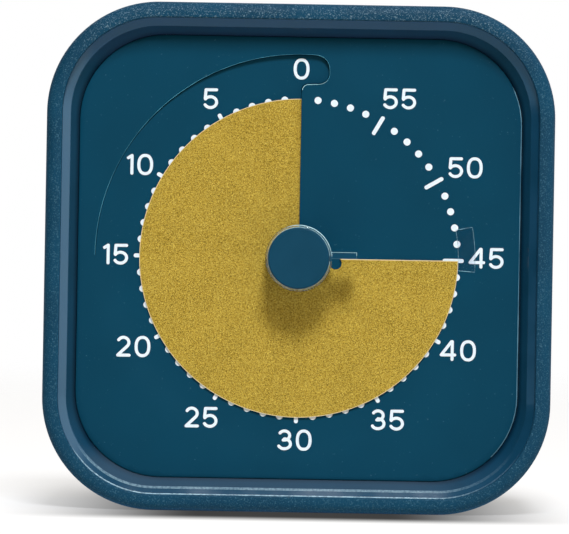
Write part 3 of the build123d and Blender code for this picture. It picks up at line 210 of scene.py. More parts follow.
fade = ramp(reach.outputs["Value"], 0.25, 1.1)
add_node(paint, "ShaderNodeOutputMaterial", {"Surface": blended(fade, opaque.outputs[0], clear.outputs[0])})
table_mesh.materials.append(table_paint)


# ---- soft cover --------------------------------------------------------------
# A one-piece silicone sleeve, moulded, matt and a little dusty, stretched round the case from the
# front.  Its narrow lip stands proud of the bezel and its rear lip holds behind the case.


def finish(name, colour, roughness, metallic=0.0, specular=0.5):
    """A new material, its shader and the coordinates that its patterns follow."""
    material = bpy.data.materials.new(name)
    material.use_nodes = True
    tree = material.node_tree
    shader = wired(tree.nodes["Principled BSDF"], {
        "Base Color": (*colour, 1), "Roughness": roughness, "Metallic": metallic,
        "Specular IOR Level": specular,
    })
    return material, shader, tree.nodes.new("ShaderNodeTexCoord").outputs["Object"]


def blotches(place, size, detail=2.0, stretch=(1, 1, 1)):
    """Soft noise with patches of about that size; stretch lengthens them along an axis."""
    tree = place.id_data
    turn = add_node(tree, "ShaderNodeMapping", {"Vector": place, "Scale": [1 / s for s in stretch]})
    return add_node(tree, "ShaderNodeTexNoise", {
        "Vector": turn.outputs[0], "Scale": 1 / size, "Detail": detail,
    }).outputs["Fac"]


def tint(amount, first, second):
    """A colour between two, each a triple or another node's colour."""
    blend = amount.id_data.nodes.new("ShaderNodeMix")
    blend.data_type = "RGBA"
    first, second = ((*c, 1) if isinstance(c, tuple) else c for c in (first, second))
    # a Mix node has one pair of sockets for each kind of data; its colours are the last pair but one
    return wired(blend, {0: amount, 6: first, 7: second}).outputs[2]


def stirred(cloud, first, second):
    """One colour where a noise is low, turning to another where it is high."""
    return tint(spread(cloud, 0.35, 0.65), first, second)


def shade(colour, factor):
    """A darker or lighter version of a colour."""
    return tuple(min(1.0, channel * factor) for channel in colour)


def shades(cloud, colour, darker, lighter):
    """A colour that drifts with a noise between two factors of itself."""
    return stirred(cloud, shade(colour, darker), shade(colour, lighter))


def surface(shader, colour, cloud, smoothest, roughest):
    """A shader's colour, and a roughness that drifts with a noise between two values."""
    wired(shader, {"Base Color": colour, "Roughness": spread(cloud, 0.3, 0.7, smoothest, roughest)})


def relief(shader, height, depth, rounding=0.0):
    """Turns a height into fine relief, over edges that are broken by a small radius."""
    tree = shader.id_data
    bump = add_node(tree, "ShaderNodeBump", {"Strength": 1.0, "Distance": depth, "Height": height})
    if rounding:
        edge = add_node(tree, "ShaderNodeBevel", {"Radius": rounding})
        edge.samples = 4
        wired(bump, {"Normal": edge.outputs[0]})
    wired(shader, {"Normal": bump.outputs[0]})


def added(name, mesh, material, body, replaced=()):
    """Puts a finished mesh in the scene as a piece that rides on a body."""
    piece = bpy.data.objects.new(name, mesh)
    collection.objects.link(piece)
    mesh.materials.clear()
    mesh.materials.append(material)
    for polygon in mesh.polygons:
        polygon.use_smooth = True
    mesh.set_sharp_from_angle(angle=math.radians(35))
    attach(piece, body)
    if replaced:
        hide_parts(*replaced)


def geometry_group(name, inputs, result):
    """A Geometry Nodes group with named inputs, and what its input node gives."""
    group = bpy.data.node_groups.new(name, "GeometryNodeTree")
    for label, kind in inputs.items():
        group.interface.new_socket(label, in_out="INPUT", socket_type="NodeSocket" + kind)
    group.interface.new_socket(result, in_out="OUTPUT", socket_type="NodeSocketGeometry")
    return group, group.nodes.new("NodeGroupInput").outputs


def filleted(group, curve, radius, count):
    """A curve with its corners rounded to arcs of a few steps."""
    rounding = group.nodes.new("GeometryNodeFilletCurve")
    rounding.mode = "POLY"
    return wired(rounding, {"Curve": curve, "Radius": radius, "Count": count}).outputs[0]


def finish_group(group, geometry, material):
    """Ends a group with its geometry made real and coated."""
    single = add_node(group, "GeometryNodeRealizeInstances", {"Geometry": geometry})
    coated = add_node(group, "GeometryNodeSetMaterial", {"Geometry": single.outputs[0], "Material": material})
    add_node(group, "NodeGroupOutput", {0: coated.outputs[0]})


def realised(name, shape, group, values):
    """What a group makes of a shape, as a plain mesh; values gives its inputs by name."""
    carrier = bpy.data.objects.new(name, shape)
    collection.objects.link(carrier)
    maker = carrier.modifiers.new(name, "NODES")
    maker.node_group = group
    for socket in group.interface.items_tree:
        if socket.name in values:
            maker[socket.identifier] = values[socket.name]
    bpy.context.view_layer.update()
    graph = bpy.context.evaluated_depsgraph_get()
    mesh = bpy.data.meshes.new_from_object(carrier.evaluated_get(graph), depsgraph=graph)
    mesh.name = name
    bpy.data.objects.remove(carrier)
    return mesh


cover_blue = (0.0022, 0.0480, 0.0990)
silicone, shader, place = finish("silicone", cover_blue, 0.62, specular=0.12)
cloud = blotches(place, 9 * mm)
# specks of dust, with painted light making them paler towards the top
towards_top = ramp(axes_of(place)["Z"], 76 * mm, 88 * mm)
speck = tint(towards_top, (0.05, 0.145, 0.22), (0.17, 0.28, 0.37))
dust = spread(blotches(place, 0.2 * mm, 3), 0.55, 0.74)
surface(shader, tint(dust, shades(cloud, cover_blue, 0.80, 0.98), speck), cloud, 0.55, 0.7)
relief(shader, blotches(place, 0.26 * mm, 3), 0.075 * mm)

sleeve, given = geometry_group("sleeve", {
    "Profile": "Geometry", "Width": "Float", "Corner radius": "Float", "Rubber": "Material",
}, "Sleeve")
side = given["Width"]
square = add_node(sleeve, "GeometryNodeCurvePrimitiveQuadrilateral", {"Width": side, "Height": side})
outline = filleted(sleeve, square.outputs[0], given["Corner radius"], 28)
swept = add_node(sleeve, "GeometryNodeCurveToMesh", {"Curve": outline, "Profile Curve": given["Profile"]})
upright = add_node(sleeve, "GeometryNodeTransform", {
    "Geometry": swept.outputs[0], "Rotation": (math.radians(90), 0, 0), "Translation": (0, 0, axis_height),
})
finish_group(sleeve, upright.outputs[0], given["Rubber"])


def bend(centre, radius, first, last, steps):
    """Points of an arc, from the first angle to the last, in degrees."""
    turns = [math.radians(first + (last - first) * i / steps) for i in range(steps + 1)]
    return [(centre[0] + radius * math.cos(a), centre[1] + radius * math.sin(a)) for a in turns]


# the sleeve's section: how far in from the outline, and how deep along Y
cover_half, cover_corner = 44.5, 19.6
cover_front, cover_back = -21.5, 21.5
wall, front_lip, rear_lip, rear_lip_depth = 1.8, 2.8, 5.0, 1.4
front_round, lip_round, hook_round, rear_round = 1.9, 0.3, 0.45, 3.0
sleeve_section = (
    bend((front_round, cover_front + front_round), front_round, 180, 270, 8)
    + bend((front_lip - lip_round, cover_front + lip_round), lip_round, 270, 360, 5)
    + [(front_lip, cover_front + 1.15), (wall + 0.05, cover_front + 1.2), (wall + 0.02, cover_front + 12)]
    + [(wall, 0), (wall + 0.02, cover_back - 12), (wall + 0.05, cover_back - rear_lip_depth)]
    + bend((rear_lip - hook_round, cover_back - rear_lip_depth + hook_round), hook_round, 270, 360, 4)
    + bend((rear_lip - hook_round, cover_back - hook_round), hook_round, 0, 90, 4)
    + bend((rear_round, cover_back - rear_round), rear_round, 90, 180, 9)
    + [(0, cover_back - 10), (0, 4), (0, -6), (0, cover_front + 9)]
)
section_curve = bpy.data.curves.new("sleeve_section", "CURVE")
section_curve.dimensions = "3D"
spline = section_curve.splines.new("POLY")
spline.points.add(len(sleeve_section) - 1)
for point, (inset, depth) in zip(spline.points, sleeve_section):
    point.co = (-inset * mm, depth * mm, 0, 1)
spline.use_cyclic_u = True
sleeve_mesh = realised("soft_cover", section_curve, sleeve, {
    "Width": 2 * cover_half * mm, "Corner radius": cover_corner * mm, "Rubber": silicone,
})
net = bmesh.new()
net.from_mesh(sleeve_mesh)
bmesh.ops.remove_doubles(net, verts=net.verts, dist=0.001 * mm)
bmesh.ops.recalc_face_normals(net, faces=net.faces)
net.to_mesh(sleeve_mesh)
net.free()
added("soft_cover", sleeve_mesh, silicone, "case", ["silicone_cover"])

# ---- dial --------------------------------------------------------------------
# One thin sheet of matt plastic, printed in one colour.  A quarter of it is cut free along an arc
# and bent back, so that the disk can pass behind it at twelve o'clock.
dial_blue = (0.0014, 0.0450, 0.0880)
feed_pitch = 1.0
dial_rise = 0.2
flat_from, flat_to = 30.9, 36.9
flap_edge, slit = 35.7, 0.1
tab_reach, tab_inner, tab_round, tab_small_round = 4.8, 30.65, 2.4, 1.75
plate_half, plate_corner = 38.8, 15.0
hub_hole = 3.6
sheet_depth, rim_depth = 0.4, 1.0
thick_from, thick_to = 31.3, 31.8


def smooth(value, start, end):
    """0 before start, 1 after end and an even swing between them."""
    t = min(1.0, max(0.0, (value - start) / (end - start)))
    return t * t * (3 - 2 * t)


def clock_angle(x, v):
    """Degrees counter-clockwise from twelve o'clock, from 0 to 360."""
    return math.degrees(math.atan2(-x, v)) % 360


def dial_height(x, v, on_flap):
    """How far the dial's front stands before its flat rim, in millimetres."""
    angle = clock_angle(x, v)
    if on_flap and angle > 180:
        angle -= 360
    level = 1 - smooth(math.hypot(x, v), flat_from, flat_to)
    sprung = smooth(angle, 0, 90)
    if on_flap:
        level += (1 - level) * (1 - sprung)
    else:
        level *= sprung
    return (dial_rise - feed_pitch * (360 - angle) / 360) * level


def centre_of(face, spots):
    """The middle of a flat face."""
    return tuple(sum(spots[i][axis] for i in face) / len(face) for axis in (0, 1))


def filled(loops, inner, keep):
    """Triangles between closed loops, with extra points inside; keep says which of them stay."""
    points, edges = [], []
    for loop in loops:
        first = len(points)
        points += loop
        edges += [(first + i, first + (i + 1) % len(loop)) for i in range(len(loop))]
    spots, _, faces, *_ = delaunay_2d_cdt([Vector(p) for p in points + inner], edges, [], 0, 1e-5)
    return [tuple(s) for s in spots], [tuple(face) for face in faces if keep(*centre_of(face, spots))]


def inside(x, v, loop):
    """Whether a place is inside a closed loop."""
    found = False
    for (x1, v1), (x2, v2) in zip(loop, loop[1:] + loop[:1]):
        if (v1 > v) != (v2 > v) and x < (x2 - x1) * (v - v1) / (v2 - v1) + x1:
            found = not found
    return found


def sheet_mesh(name, spots, faces, front, back):
    """A closed sheet from flat triangles.  front and back give each point's depth along Y, in mm."""
    used = sorted({i for face in faces for i in face})
    index = {old: new for new, old in enumerate(used)}
    count = len(used)
    vertices = [
        (spots[i][0] * mm, depth(i) * mm, axis_height + spots[i][1] * mm)
        for depth in (front, back) for i in used
    ]
    solid, border = [], {}
    for face in faces:
        a = [index[i] for i in face]
        (x1, v1), (x2, v2), (x3, v3) = (spots[i] for i in face[:3])
        if (x2 - x1) * (v3 - v1) - (x3 - x1) * (v2 - v1) < 0:
            a.reverse()
        solid.append(a)
        solid.append([i + count for i in reversed(a)])
        for edge in zip(a, a[1:] + a[:1]):
            if not border.pop(edge[::-1], False):
                border[edge] = True
    solid += [[q, p, p + count, q + count] for p, q in border]
    mesh = bpy.data.meshes.new(name)
    mesh.from_pydata(vertices, [], solid)
    mesh.validate()
    mesh.update()
    return mesh


def rounded_square(half, corner):
    """The outline of a square with round corners."""
    side = half - corner
    centres = ((side, side), (-side, side), (-side, -side), (side, -side))
    return [p for i, centre in enumerate(centres) for p in bend(centre, corner, 90 * i, 90 * i + 90, 16)]


def tab_outline(grow):
    """The free edge of the tab, from the arc's end round to its inner edge, grown by the slit."""
    top, low, end = flap_edge + grow, tab_inner - grow, tab_reach + grow
    big, small = tab_round + grow, tab_small_round + grow
    upper = (end - big, math.sqrt((top - big) ** 2 - (end - big) ** 2))
    lower = (end - small, low + small + 0.05)
    lean = math.degrees(math.atan2(upper[1], upper[0]))
    return bend(upper, big, lean, 0, 10) + bend(lower, small, 0, -90, 8)


def cut_line(grow):
    """One side of the cut: along the arc, on over the tab and round it."""
    radius, tab = flap_edge + grow, tab_outline(grow)
    end = math.degrees(math.atan2(tab[0][1], tab[0][0]))
    return bend((0, 0), radius, 180, 90, 60)[:-1] + bend((0, 0), radius, 90, end, 5)[:-1] + tab


# the cut is one narrow opening: the hub hole, the radial slit, and the slit round tab and arc
seam, foot = 0.02, 1.05
foot_top = tab_inner - foot
free_foot = bend((foot - seam, foot_top), foot, 180, 90, 5)
fixed_foot = (foot + seam + slit, foot_top - slit)
free_line, fixed_line = cut_line(0), cut_line(slit)
opening = (
    [(-seam, hub_hole + (foot_top - hub_hole) * i / 40) for i in range(41)]
    + free_foot[1:]
    + free_line[::-1]
    + fixed_line
    + bend(fixed_foot, foot, 90, 180, 5)[:-1]
    + [(seam, fixed_foot[1] - (fixed_foot[1] - hub_hole) * i / 40) for i in range(1, 41)]
    + bend((0, 0), hub_hole, 89.5, -269.5, 72)[1:-1]
)
# a painted highlight along the cut, on the fixed side beside the arc and round the tab
highlight_width = 0.035
highlight_loop = (
    fixed_line
    + bend(fixed_foot, foot, 90, 180, 5)
    + bend(fixed_foot, foot - 2 * highlight_width, 180, 90, 5)
    + cut_line(slit + highlight_width)[::-1]
)
bevel = 0.15
plate_edge = rounded_square(plate_half, plate_corner)
chamfer = rounded_square(plate_half - bevel, plate_corner - bevel)


def past_sides(x, v):
    """How far a place is from the square on which the plate's round corners stand."""
    side = plate_half - plate_corner
    return math.hypot(max(0, abs(x) - side), max(0, abs(v) - side))


def ring_net(ring, last, step, too_near):
    """Points on rings from the first radius to the last, a step apart and clear of any edge."""
    points = []
    while ring < last:
        count = max(24, int(2 * math.pi * ring / step))
        circle = bend((0, 0), ring, 0, 360, count)[:-1]
        points += [spot for spot in circle if not too_near(*spot)]
        ring += step
    return points


def near_dial_edge(x, v):
    """Whether a place is close to the plate's rim, to the cut or to the tab."""
    past_rim = max(abs(x) - plate_half, abs(v) - plate_half, past_sides(x, v) - plate_corner)
    near_slit = abs(x) < 0.35 or abs(math.hypot(x, v) - flap_edge - slit / 2) < 0.3 and x < 0.5
    near_tab = 0 < x < tab_reach + 0.7 and tab_inner - 1.0 < v < flap_edge + 0.6
    return past_rim > -0.6 or near_slit and v > 0 or near_tab


spots, faces = filled(
    [plate_edge, chamfer, opening, highlight_loop],
    ring_net(hub_hole + 0.5, 54, 0.9, near_dial_edge),
    lambda x, v: inside(x, v, plate_edge) and not inside(x, v, opening),
)
flap_loop = (
    [(-hub_hole, 0)]
    + free_line
    + free_foot[::-1]
    + [(-seam, hub_hole)]
    + bend((0, 0), hub_hole, 90.5, 180, 18)
)
flap_spots = {i for face in faces if inside(*centre_of(face, spots), flap_loop) for i in face}


def dial_front(i):
    """Depth of the dial's front at one of its points, in millimetres."""
    x, v = spots[i]
    from_edge = min(1.0, max(0.0, plate_corner - past_sides(x, v)) / bevel)
    return dial_y - dial_height(x, v, i in flap_spots) + 0.1 * (1 - from_edge)


def dial_back(i):
    """Depth of its back, which is thicker outside the part that is bent."""
    x, v = spots[i]
    on_flap = i in flap_spots
    rim = 0 if on_flap else smooth(math.hypot(x, v), thick_from, thick_to)
    depth = sheet_depth + (rim_depth - sheet_depth) * rim
    deepest = dial_y + rim_depth if rim == 1 else 0
    return min(deepest, dial_y - dial_height(x, v, on_flap) + depth)


dial_mesh = sheet_mesh("dial", spots, faces, dial_front, dial_back)
dial_paint, shader, place = finish("dial_plastic", dial_blue, 0.5, specular=0.06)
base = shades(blotches(place, 14 * mm), dial_blue, 0.96, 1.04)
dust = spread(blotches(place, 0.45 * mm, 4), 0.70, 0.79)
wired(shader, {"Base Color": tint(dust, base, (0.05, 0.14, 0.20))})
relief(shader, blotches(place, 0.15 * mm), 0.004 * mm, 0.12 * mm)
added("dial", dial_mesh, dial_paint, "case", ["face_plate"])
# the painted highlight along the cut: patches of blue along the arc, paler on the lower lip below the tab
cut_highlight, shader, place = finish("cut_highlight", (0.10, 0.22, 0.30), 0.6, specular=0.1)
axes = axes_of(place)
lip_fade = spread(axes["Z"], axis_height + 31.4 * mm, axis_height + 30.9 * mm)
lit_lower_lip = product(lip_fade, combine("GREATER_THAN", axes["X"], 0))
arc_highlight = stirred(blotches(place, 3 * mm, 4), (0.04, 0.21, 0.33), (0.14, 0.58, 0.84))
wired(shader, {"Base Color": tint(lit_lower_lip, arc_highlight, (0.42, 0.82, 0.99))})
dial_mesh.materials.append(cut_highlight)
# a painted highlight on the bevel of the plate's right-hand edge
right_edge_highlight, shader, place = finish("right_edge_highlight", (0.14, 0.30, 0.42), 0.5, specular=0.2)
side_cloud = blotches(place, 4 * mm, 3)
wired(shader, {"Base Color": stirred(side_cloud, (0.03, 0.11, 0.18), (0.12, 0.27, 0.38))})
dial_mesh.materials.append(right_edge_highlight)
# the painted highlights go on the front faces of the strip along the cut and of the right-hand bevel
for polygon in dial_mesh.polygons:
    x, v = polygon.center.x / mm, (polygon.center.z - axis_height) / mm
    if polygon.normal.y < -0.5:
        if inside(x, v, highlight_loop):
            polygon.material_index = 1
        if x > 24 and -34 < v < 30 and not inside(x, v, chamfer):
            polygon.material_index = 2

# ---- printing on the dial ----------------------------------------------------
# White screen ink: a dot for each minute, a bar for each five, and upright numbers with round
# stroke ends, which run counter-clockwise from zero at the top.
ink_rise, ink_sink = 0.025, 0.04
print_white = (0.66, 0.80, 0.94)
ink, shader, place = finish("white_ink", print_white, 0.45, specular=0.3)
wired(shader, {"Base Color": shades(blotches(place, 0.5 * mm, 3), print_white, 0.95, 1.03)})
relief(shader, blotches(place, 0.12 * mm), 0.004 * mm)
stroke = 0.53


def oval(cx, cv, rx, rv, first, last, steps=18, power=2.0):
    """Points along an oval, a little squarer where power is above 2."""
    points = []
    for i in range(steps + 1):
        a = math.radians(first + (last - first) * i / steps)
        c, s = math.cos(a), math.sin(a)
        points.append((
            cx + rx * math.copysign(abs(c) ** (2 / power), c),
            cv + rv * math.copysign(abs(s) ** (2 / power), s),
        ))
    return points


# the middle lines of each number's strokes, its left and its right side
numbers = {
    "0": ([oval(0, 0, 1.12, 1.6, 0, 360, 48, 2.3)], -1.42, 1.42),
    "1": ([[(0.27, -1.57), (0.27, 1.55), (-0.38, 1.13)]], -0.68, 0.57),
    "2": (
        [oval(-0.02, 0.66, 0.96, 0.9, 150, -36) + [(-0.98, -1.55)], [(-0.98, -1.55), (1.02, -1.55)]],
        -1.3, 1.32,
    ),
    "3": (
        [oval(-0.12, 0.76, 0.92, 0.8, 148, -90) + [(-0.32, -0.04)], oval(-0.12, -0.7, 1.08, 0.87, 90, -152)],
        -1.35, 1.26,
    ),
    "4": ([[(0.74, -1.57), (0.74, 1.55), (0.6, 1.55), (-1.17, -0.78), (1.2, -0.78)]], -1.47, 1.5),
    "5": (
        [[(0.98, 1.55), (-0.88, 1.55), (-1.0, 0.02)], oval(-0.07, -0.62, 1.08, 0.96, 146, -150)],
        -1.33, 1.3,
    ),
}
number_gap = 0.6
sharp_turn = 0.5


def stroke_loop(line):
    """The outline of a round-ended stroke along a line, or two outlines if the line is closed."""
    half = stroke / 2
    closed = math.dist(line[0], line[-1]) < 1e-6
    if closed:
        line = line[:-1]
    count = len(line)

    def offset(side, i):
        before = line[(i - 1) % count] if closed or i else line[i]
        after = line[(i + 1) % count] if closed or i < count - 1 else line[i]
        dx, dv = after[0] - before[0], after[1] - before[1]
        length = math.hypot(dx, dv)
        return line[i][0] - side * half * dv / length, line[i][1] + side * half * dx / length

    if closed:
        return [[offset(1, i) for i in range(count)], [offset(-1, i) for i in range(count)]]
    start = math.degrees(math.atan2(line[1][1] - line[0][1], line[1][0] - line[0][0]))
    end = math.degrees(math.atan2(line[-1][1] - line[-2][1], line[-1][0] - line[-2][0]))
    return [
        [offset(1, i) for i in range(1, count - 1)]
        + bend(line[-1], half, end + 90, end - 90, 8)
        + [offset(-1, i) for i in range(count - 2, 0, -1)]
        + bend(line[0], half, start - 90, start - 270, 8)
    ]


def to_line(x, v, line):
    """Distance from a place to a line of points."""
    nearest = 1e9
    for (x1, v1), (x2, v2) in zip(line, line[1:]):
        dx, dv = x2 - x1, v2 - v1
        t = max(0.0, min(1.0, ((x - x1) * dx + (v - v1) * dv) / max(dx * dx + dv * dv, 1e-9)))
        nearest = min(nearest, math.hypot(x - x1 - t * dx, v - v1 - t * dv))
    return nearest


def segments_of(line):
    """A line of corners as single runs, so that each run gets its own outline."""
    runs, run = [], [line[0], line[1]]
    for a, b, c in zip(line, line[1:], line[2:]):
        if (Vector(b) - Vector(a)).angle(Vector(c) - Vector(b)) > sharp_turn:
            runs.append(run)
            run = [b]
        run.append(c)
    return runs + [run]


def on_the_flap(x, v):
    """Whether a place on the dial belongs to the quarter that is bent back, or to its tab."""
    inner = 0 if x <= 0 else tab_inner - slit / 2
    return v > 0 and x < tab_reach + slit / 2 and inner < math.hypot(x, v) < flap_edge + slit / 2


def on_dial(mesh_spots, faces, name):
    """Ink over flat triangles, laid on the dial's own surface."""
    def level(i):
        x, v = mesh_spots[i]
        return dial_y - dial_height(x, v, on_the_flap(x, v))
    return sheet_mesh(name, mesh_spots, faces, lambda i: level(i) - ink_rise, lambda i: level(i) + ink_sink)


# minute, the radius at which its number stands, and how far it was shifted from there
number_places = (
    (0, 33.0, -0.07, 0.27), (5, 32.2, 0.17, -0.1), (10, 32.2, -0.3, -0.1), (15, 32.2, 0.0, 0.17),
    (20, 33.0, -0.21, 0.5), (25, 33.0, -0.17, 0.35), (30, 31.8, -0.17, -0.15), (35, 32.2, 0.0, -0.25),
    (40, 32.2, 0.35, 0.35), (45, 33.0, -0.08, 0.56), (50, 33.0, 0.45, -0.1), (55, 33.0, 0.75, -0.28),
)
number_spots, number_faces = [], []
for minute, radius, aside_by, up_by in number_places:
    angle = math.radians(90 + 6 * minute)
    signs = str(minute)
    width = sum(numbers[s][2] - numbers[s][1] for s in signs) + number_gap * (len(signs) - 1)
    left = radius * math.cos(angle) + aside_by - width / 2
    level = radius * math.sin(angle) + up_by
    for sign in signs:
        lines, low, high = numbers[sign]
        middle = left - low
        placed = [[(x + middle, v + level) for x, v in line] for line in lines]
        loops = [loop for line in placed for run in segments_of(line) for loop in stroke_loop(run)]
        got, kept = filled(loops, [], lambda x, v: min(to_line(x, v, line) for line in placed) < stroke / 2)
        first = len(number_spots)
        number_spots += got
        number_faces += [tuple(first + i for i in face) for face in kept]
        left += high - low + number_gap
added("dial_numbers", on_dial(number_spots, number_faces, "dial_numbers"), ink, "case")

marks, given = geometry_group("dial_marks", {
    "Geometry": "Geometry", "Dot ring radius": "Float", "Dot radius": "Float", "Bar ring radius": "Float",
    "Bar length": "Float", "Bar width": "Float", "Ink": "Material",
}, "Marks")


def ring_of(count, radius, shape, skip_every):
    """Instances of a flat shape round a ring, without every so many."""
    ring_points = add_node(marks, "GeometryNodeMeshCircle", {"Vertices": count, "Radius": radius})
    index = marks.nodes.new("GeometryNodeInputIndex").outputs[0]
    shown = combine("GREATER_THAN", combine("MODULO", index, skip_every), 0.5)
    around = add_node(marks, "ShaderNodeCombineXYZ", {"Z": product(index, 2 * math.pi / count)})
    return add_node(marks, "GeometryNodeInstanceOnPoints", {
        "Points": ring_points.outputs[0], "Selection": shown, "Instance": shape,
        "Rotation": around.outputs[0],
    }).outputs[0]


dot = marks.nodes.new("GeometryNodeMeshCircle")
dot.fill_type = "TRIANGLE_FAN"
wired(dot, {"Vertices": 24, "Radius": given["Dot radius"]})
bar = add_node(marks, "GeometryNodeCurvePrimitiveQuadrilateral", {
    "Width": given["Bar length"], "Height": given["Bar width"],
})
bar_edge = filleted(marks, bar.outputs[0], product(given["Bar width"], 0.45), 6)
bar_fill = add_node(marks, "GeometryNodeFillCurve", {"Curve": bar_edge})
joined = marks.nodes.new("GeometryNodeJoinGeometry")
marks.links.new(ring_of(60, given["Dot ring radius"], dot.outputs[0], 5), joined.inputs[0])
marks.links.new(ring_of(12, given["Bar ring radius"], bar_fill.outputs[0], 12), joined.inputs[0])
finish_group(marks, joined.outputs[0], given["Ink"])
flat_marks = realised("flat_marks", bpy.data.meshes.new("marks_carrier"), marks, {
    "Dot ring radius": 27.9 * mm, "Dot radius": 0.625 * mm, "Bar ring radius": 27.15 * mm,
    "Bar length": 3.7 * mm, "Bar width": 0.7 * mm, "Ink": ink,
})
# the ring starts at three o'clock, so it is turned by a quarter to start at twelve
mark_spots = [(-vertex.co.y / mm, vertex.co.x / mm) for vertex in flat_marks.vertices]
mark_faces = []
for polygon in flat_marks.polygons:
    corners = list(polygon.vertices)
    mark_faces += [(corners[0], corners[i], corners[i + 1]) for i in range(1, len(corners) - 1)]
bpy.data.meshes.remove(flat_marks)
added("dial_marks", on_dial(mark_spots, mark_faces, "dial_marks"), ink, "case")

# ---- time disk ---------------------------------------------------------------
# A disk of springy plastic film in metallic gold, cut along one radius.  It is sprung into one
# turn of a very flat screw, so that it threads through the slit as it turns.
disk_radius, disk_depth, disk_gap = 28.0, 0.2, 0.2
disk_hole = 3.15
lead_angle = 270.4
notch_at, notch_radius, notch_inset = 6.5, 1.07, 0.8


def disk_front(i):
    """Depth of the disk's front at one of its points, in millimetres."""
    angle = clock_angle(*disk_spots[i])
    if angle > lead_angle:
        angle -= 360
    return dial_y - (dial_rise - feed_pitch * (360 - angle) / 360 + disk_gap + disk_depth)


notch_end = math.degrees(math.asin(notch_inset / notch_radius))
notch = bend((notch_at, -notch_inset), notch_radius, 180 - notch_end, 360 + notch_end, 20)
lead_edge = [(disk_hole, 0), (4.2, 0), (5.2, 0)] + notch
lead_edge += [(notch[-1][0] + (disk_radius - notch[-1][0]) * i / 24, 0) for i in range(1, 25)]
trail_edge = [bend((0, 0), disk_radius + (disk_hole - disk_radius) * i / 26, 1, 1, 1)[0] for i in range(27)]
disk_loop = (
    lead_edge
    + bend((0, 0), disk_radius, 0, -359, 240)[1:-1]
    + trail_edge
    + bend((0, 0), disk_hole, -359, 0, 60)[1:-1]
)


def near_disk_cut(x, v):
    """Whether a place is close to the disk's radial cut or to its notch."""
    return abs(v) < 0.5 and x > 0 or math.hypot(x - notch_at, v + notch_inset) < notch_radius + 0.35


def layered(base, *layers):
    """A colour with others laid over it, each by an amount of its own."""
    for amount, colour in layers:
        base = tint(amount, base, colour)
    return base


disk_net = ring_net(disk_hole + 0.7, disk_radius - 0.4, 1.0, near_disk_cut)
disk_spots, disk_faces = filled([disk_loop], disk_net, lambda x, v: inside(x, v, disk_loop))
disk_mesh = sheet_mesh("gold_disk", disk_spots, disk_faces, disk_front, lambda i: disk_front(i) + disk_depth)
gold_film, shader, place = finish("gold_film", (0.43, 0.295, 0.030), 0.5, metallic=0.15, specular=0.02)
tree = shader.id_data
grains = add_node(tree, "ShaderNodeTexVoronoi", {"Vector": place, "Scale": 1 / (0.085 * mm)})
flake = add_node(tree, "ShaderNodeSeparateColor", {0: grains.outputs["Color"]}).outputs
sparkle = product(combine("ADD", flake[0], flake[1]), 0.5)
gold = tint(spread(sparkle, 0.22, 0.78), (0.10, 0.064, 0.005), (0.555, 0.402, 0.066))


def off_level(axes):
    """Distance above or below the dial's axis."""
    return combine("ABSOLUTE", combine("SUBTRACT", axes["Z"], axis_height))


def off_axis(axes):
    """Distance from the dial's axis."""
    up = off_level(axes)
    return combine("SQRT", combine("ADD", product(axes["X"], axes["X"]), product(up, up)))


# a pale cream line along its cut rim and along its leading edge
axes = axes_of(place)
rim = combine("GREATER_THAN", off_axis(axes), (disk_radius - 0.1) * mm)
front = product(
    combine("LESS_THAN", off_level(axes), 0.13 * mm), combine("GREATER_THAN", axes["X"], 7.5 * mm),
)
cream = product(combine("MAXIMUM", rim, front), 0.75)
gold = layered(
    gold, (spread(flake[2], 0.4, 0, 0, 0.4), (0.46, 0.29, 0.022)),
    (spread(flake[2], 0.82, 0.96, 0, 0.6), (0.86, 0.70, 0.17)), (cream, (0.80, 0.72, 0.50)),
)
wired(shader, {"Base Color": gold, "Roughness": spread(flake[2], 0, 1, 0.32, 0.62)})
relief(shader, flake[1], 0.005 * mm, 0.06 * mm)
added("gold_disk", disk_mesh, gold_film, "disk", ["time_disk"])

# ---- clear parts -------------------------------------------------------------
# The knob's shell with its pointer, and the tab on the disk's rim, are moulded in clear
# polystyrene.  The shell is a press fit on the spindle, and the tab is welded to the disk.


def coat(material, *names):
    """Gives CAD nodes their finish."""
    for name in names:
        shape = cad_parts[name]
        shape.data.materials.clear()
        shape.data.materials.append(material)


def between(value, low, high):
    """1 where the value is between two others."""
    return product(combine("GREATER_THAN", value, low), combine("LESS_THAN", value, high))


def edge_turn(tree, radius):
    """1 on flats and less near edges, where a rounded normal turns away; and that normal."""
    rounded = add_node(tree, "ShaderNodeBevel", {"Radius": radius})
    rounded.samples = 6
    plain = tree.nodes.new("ShaderNodeNewGeometry").outputs["Normal"]
    turned = add_node(tree, "ShaderNodeVectorMath", {0: plain, 1: rounded.outputs[0]})
    turned.operation = "DOT_PRODUCT"
    return turned.outputs["Value"], rounded.outputs[0]


def frosted(clear, share, colour):
    """Makes the surface of a clear shader, with a painted highlight of a colour in its share."""
    tree = clear.id_data
    highlight_glow = add_node(tree, "ShaderNodeBsdfDiffuse", {"Color": (*colour, 1)})
    wired(tree.nodes["Material Output"], {"Surface": blended(share, clear, highlight_glow.outputs[0])})


clear_plastic, shader, place = finish("clear_plastic", (0.95, 0.975, 0.985), 0.04)
wired(shader, {
    "Transmission Weight": 1.0, "IOR": 1.49,
    "Roughness": spread(blotches(place, 2 * mm), 0.3, 0.7, 0.02, 0.08),
})
# the cap's blue fills the pointer, up to its root in the shell
spot = axes_of(place)
root = product(
    combine("GREATER_THAN", spot["X"], 5.0 * mm), combine("LESS_THAN", off_level(spot), 0.45 * mm),
)
pointing = combine("MAXIMUM", root, combine("GREATER_THAN", spot["X"], 5.95 * mm))
tree = shader.id_data
cap_blue = add_node(tree, "ShaderNodeBsdfDiffuse", {"Color": (0.008, 0.056, 0.112, 1)})
tinted = blended(product(pointing, 0.92), shader.outputs[0], cap_blue.outputs[0])
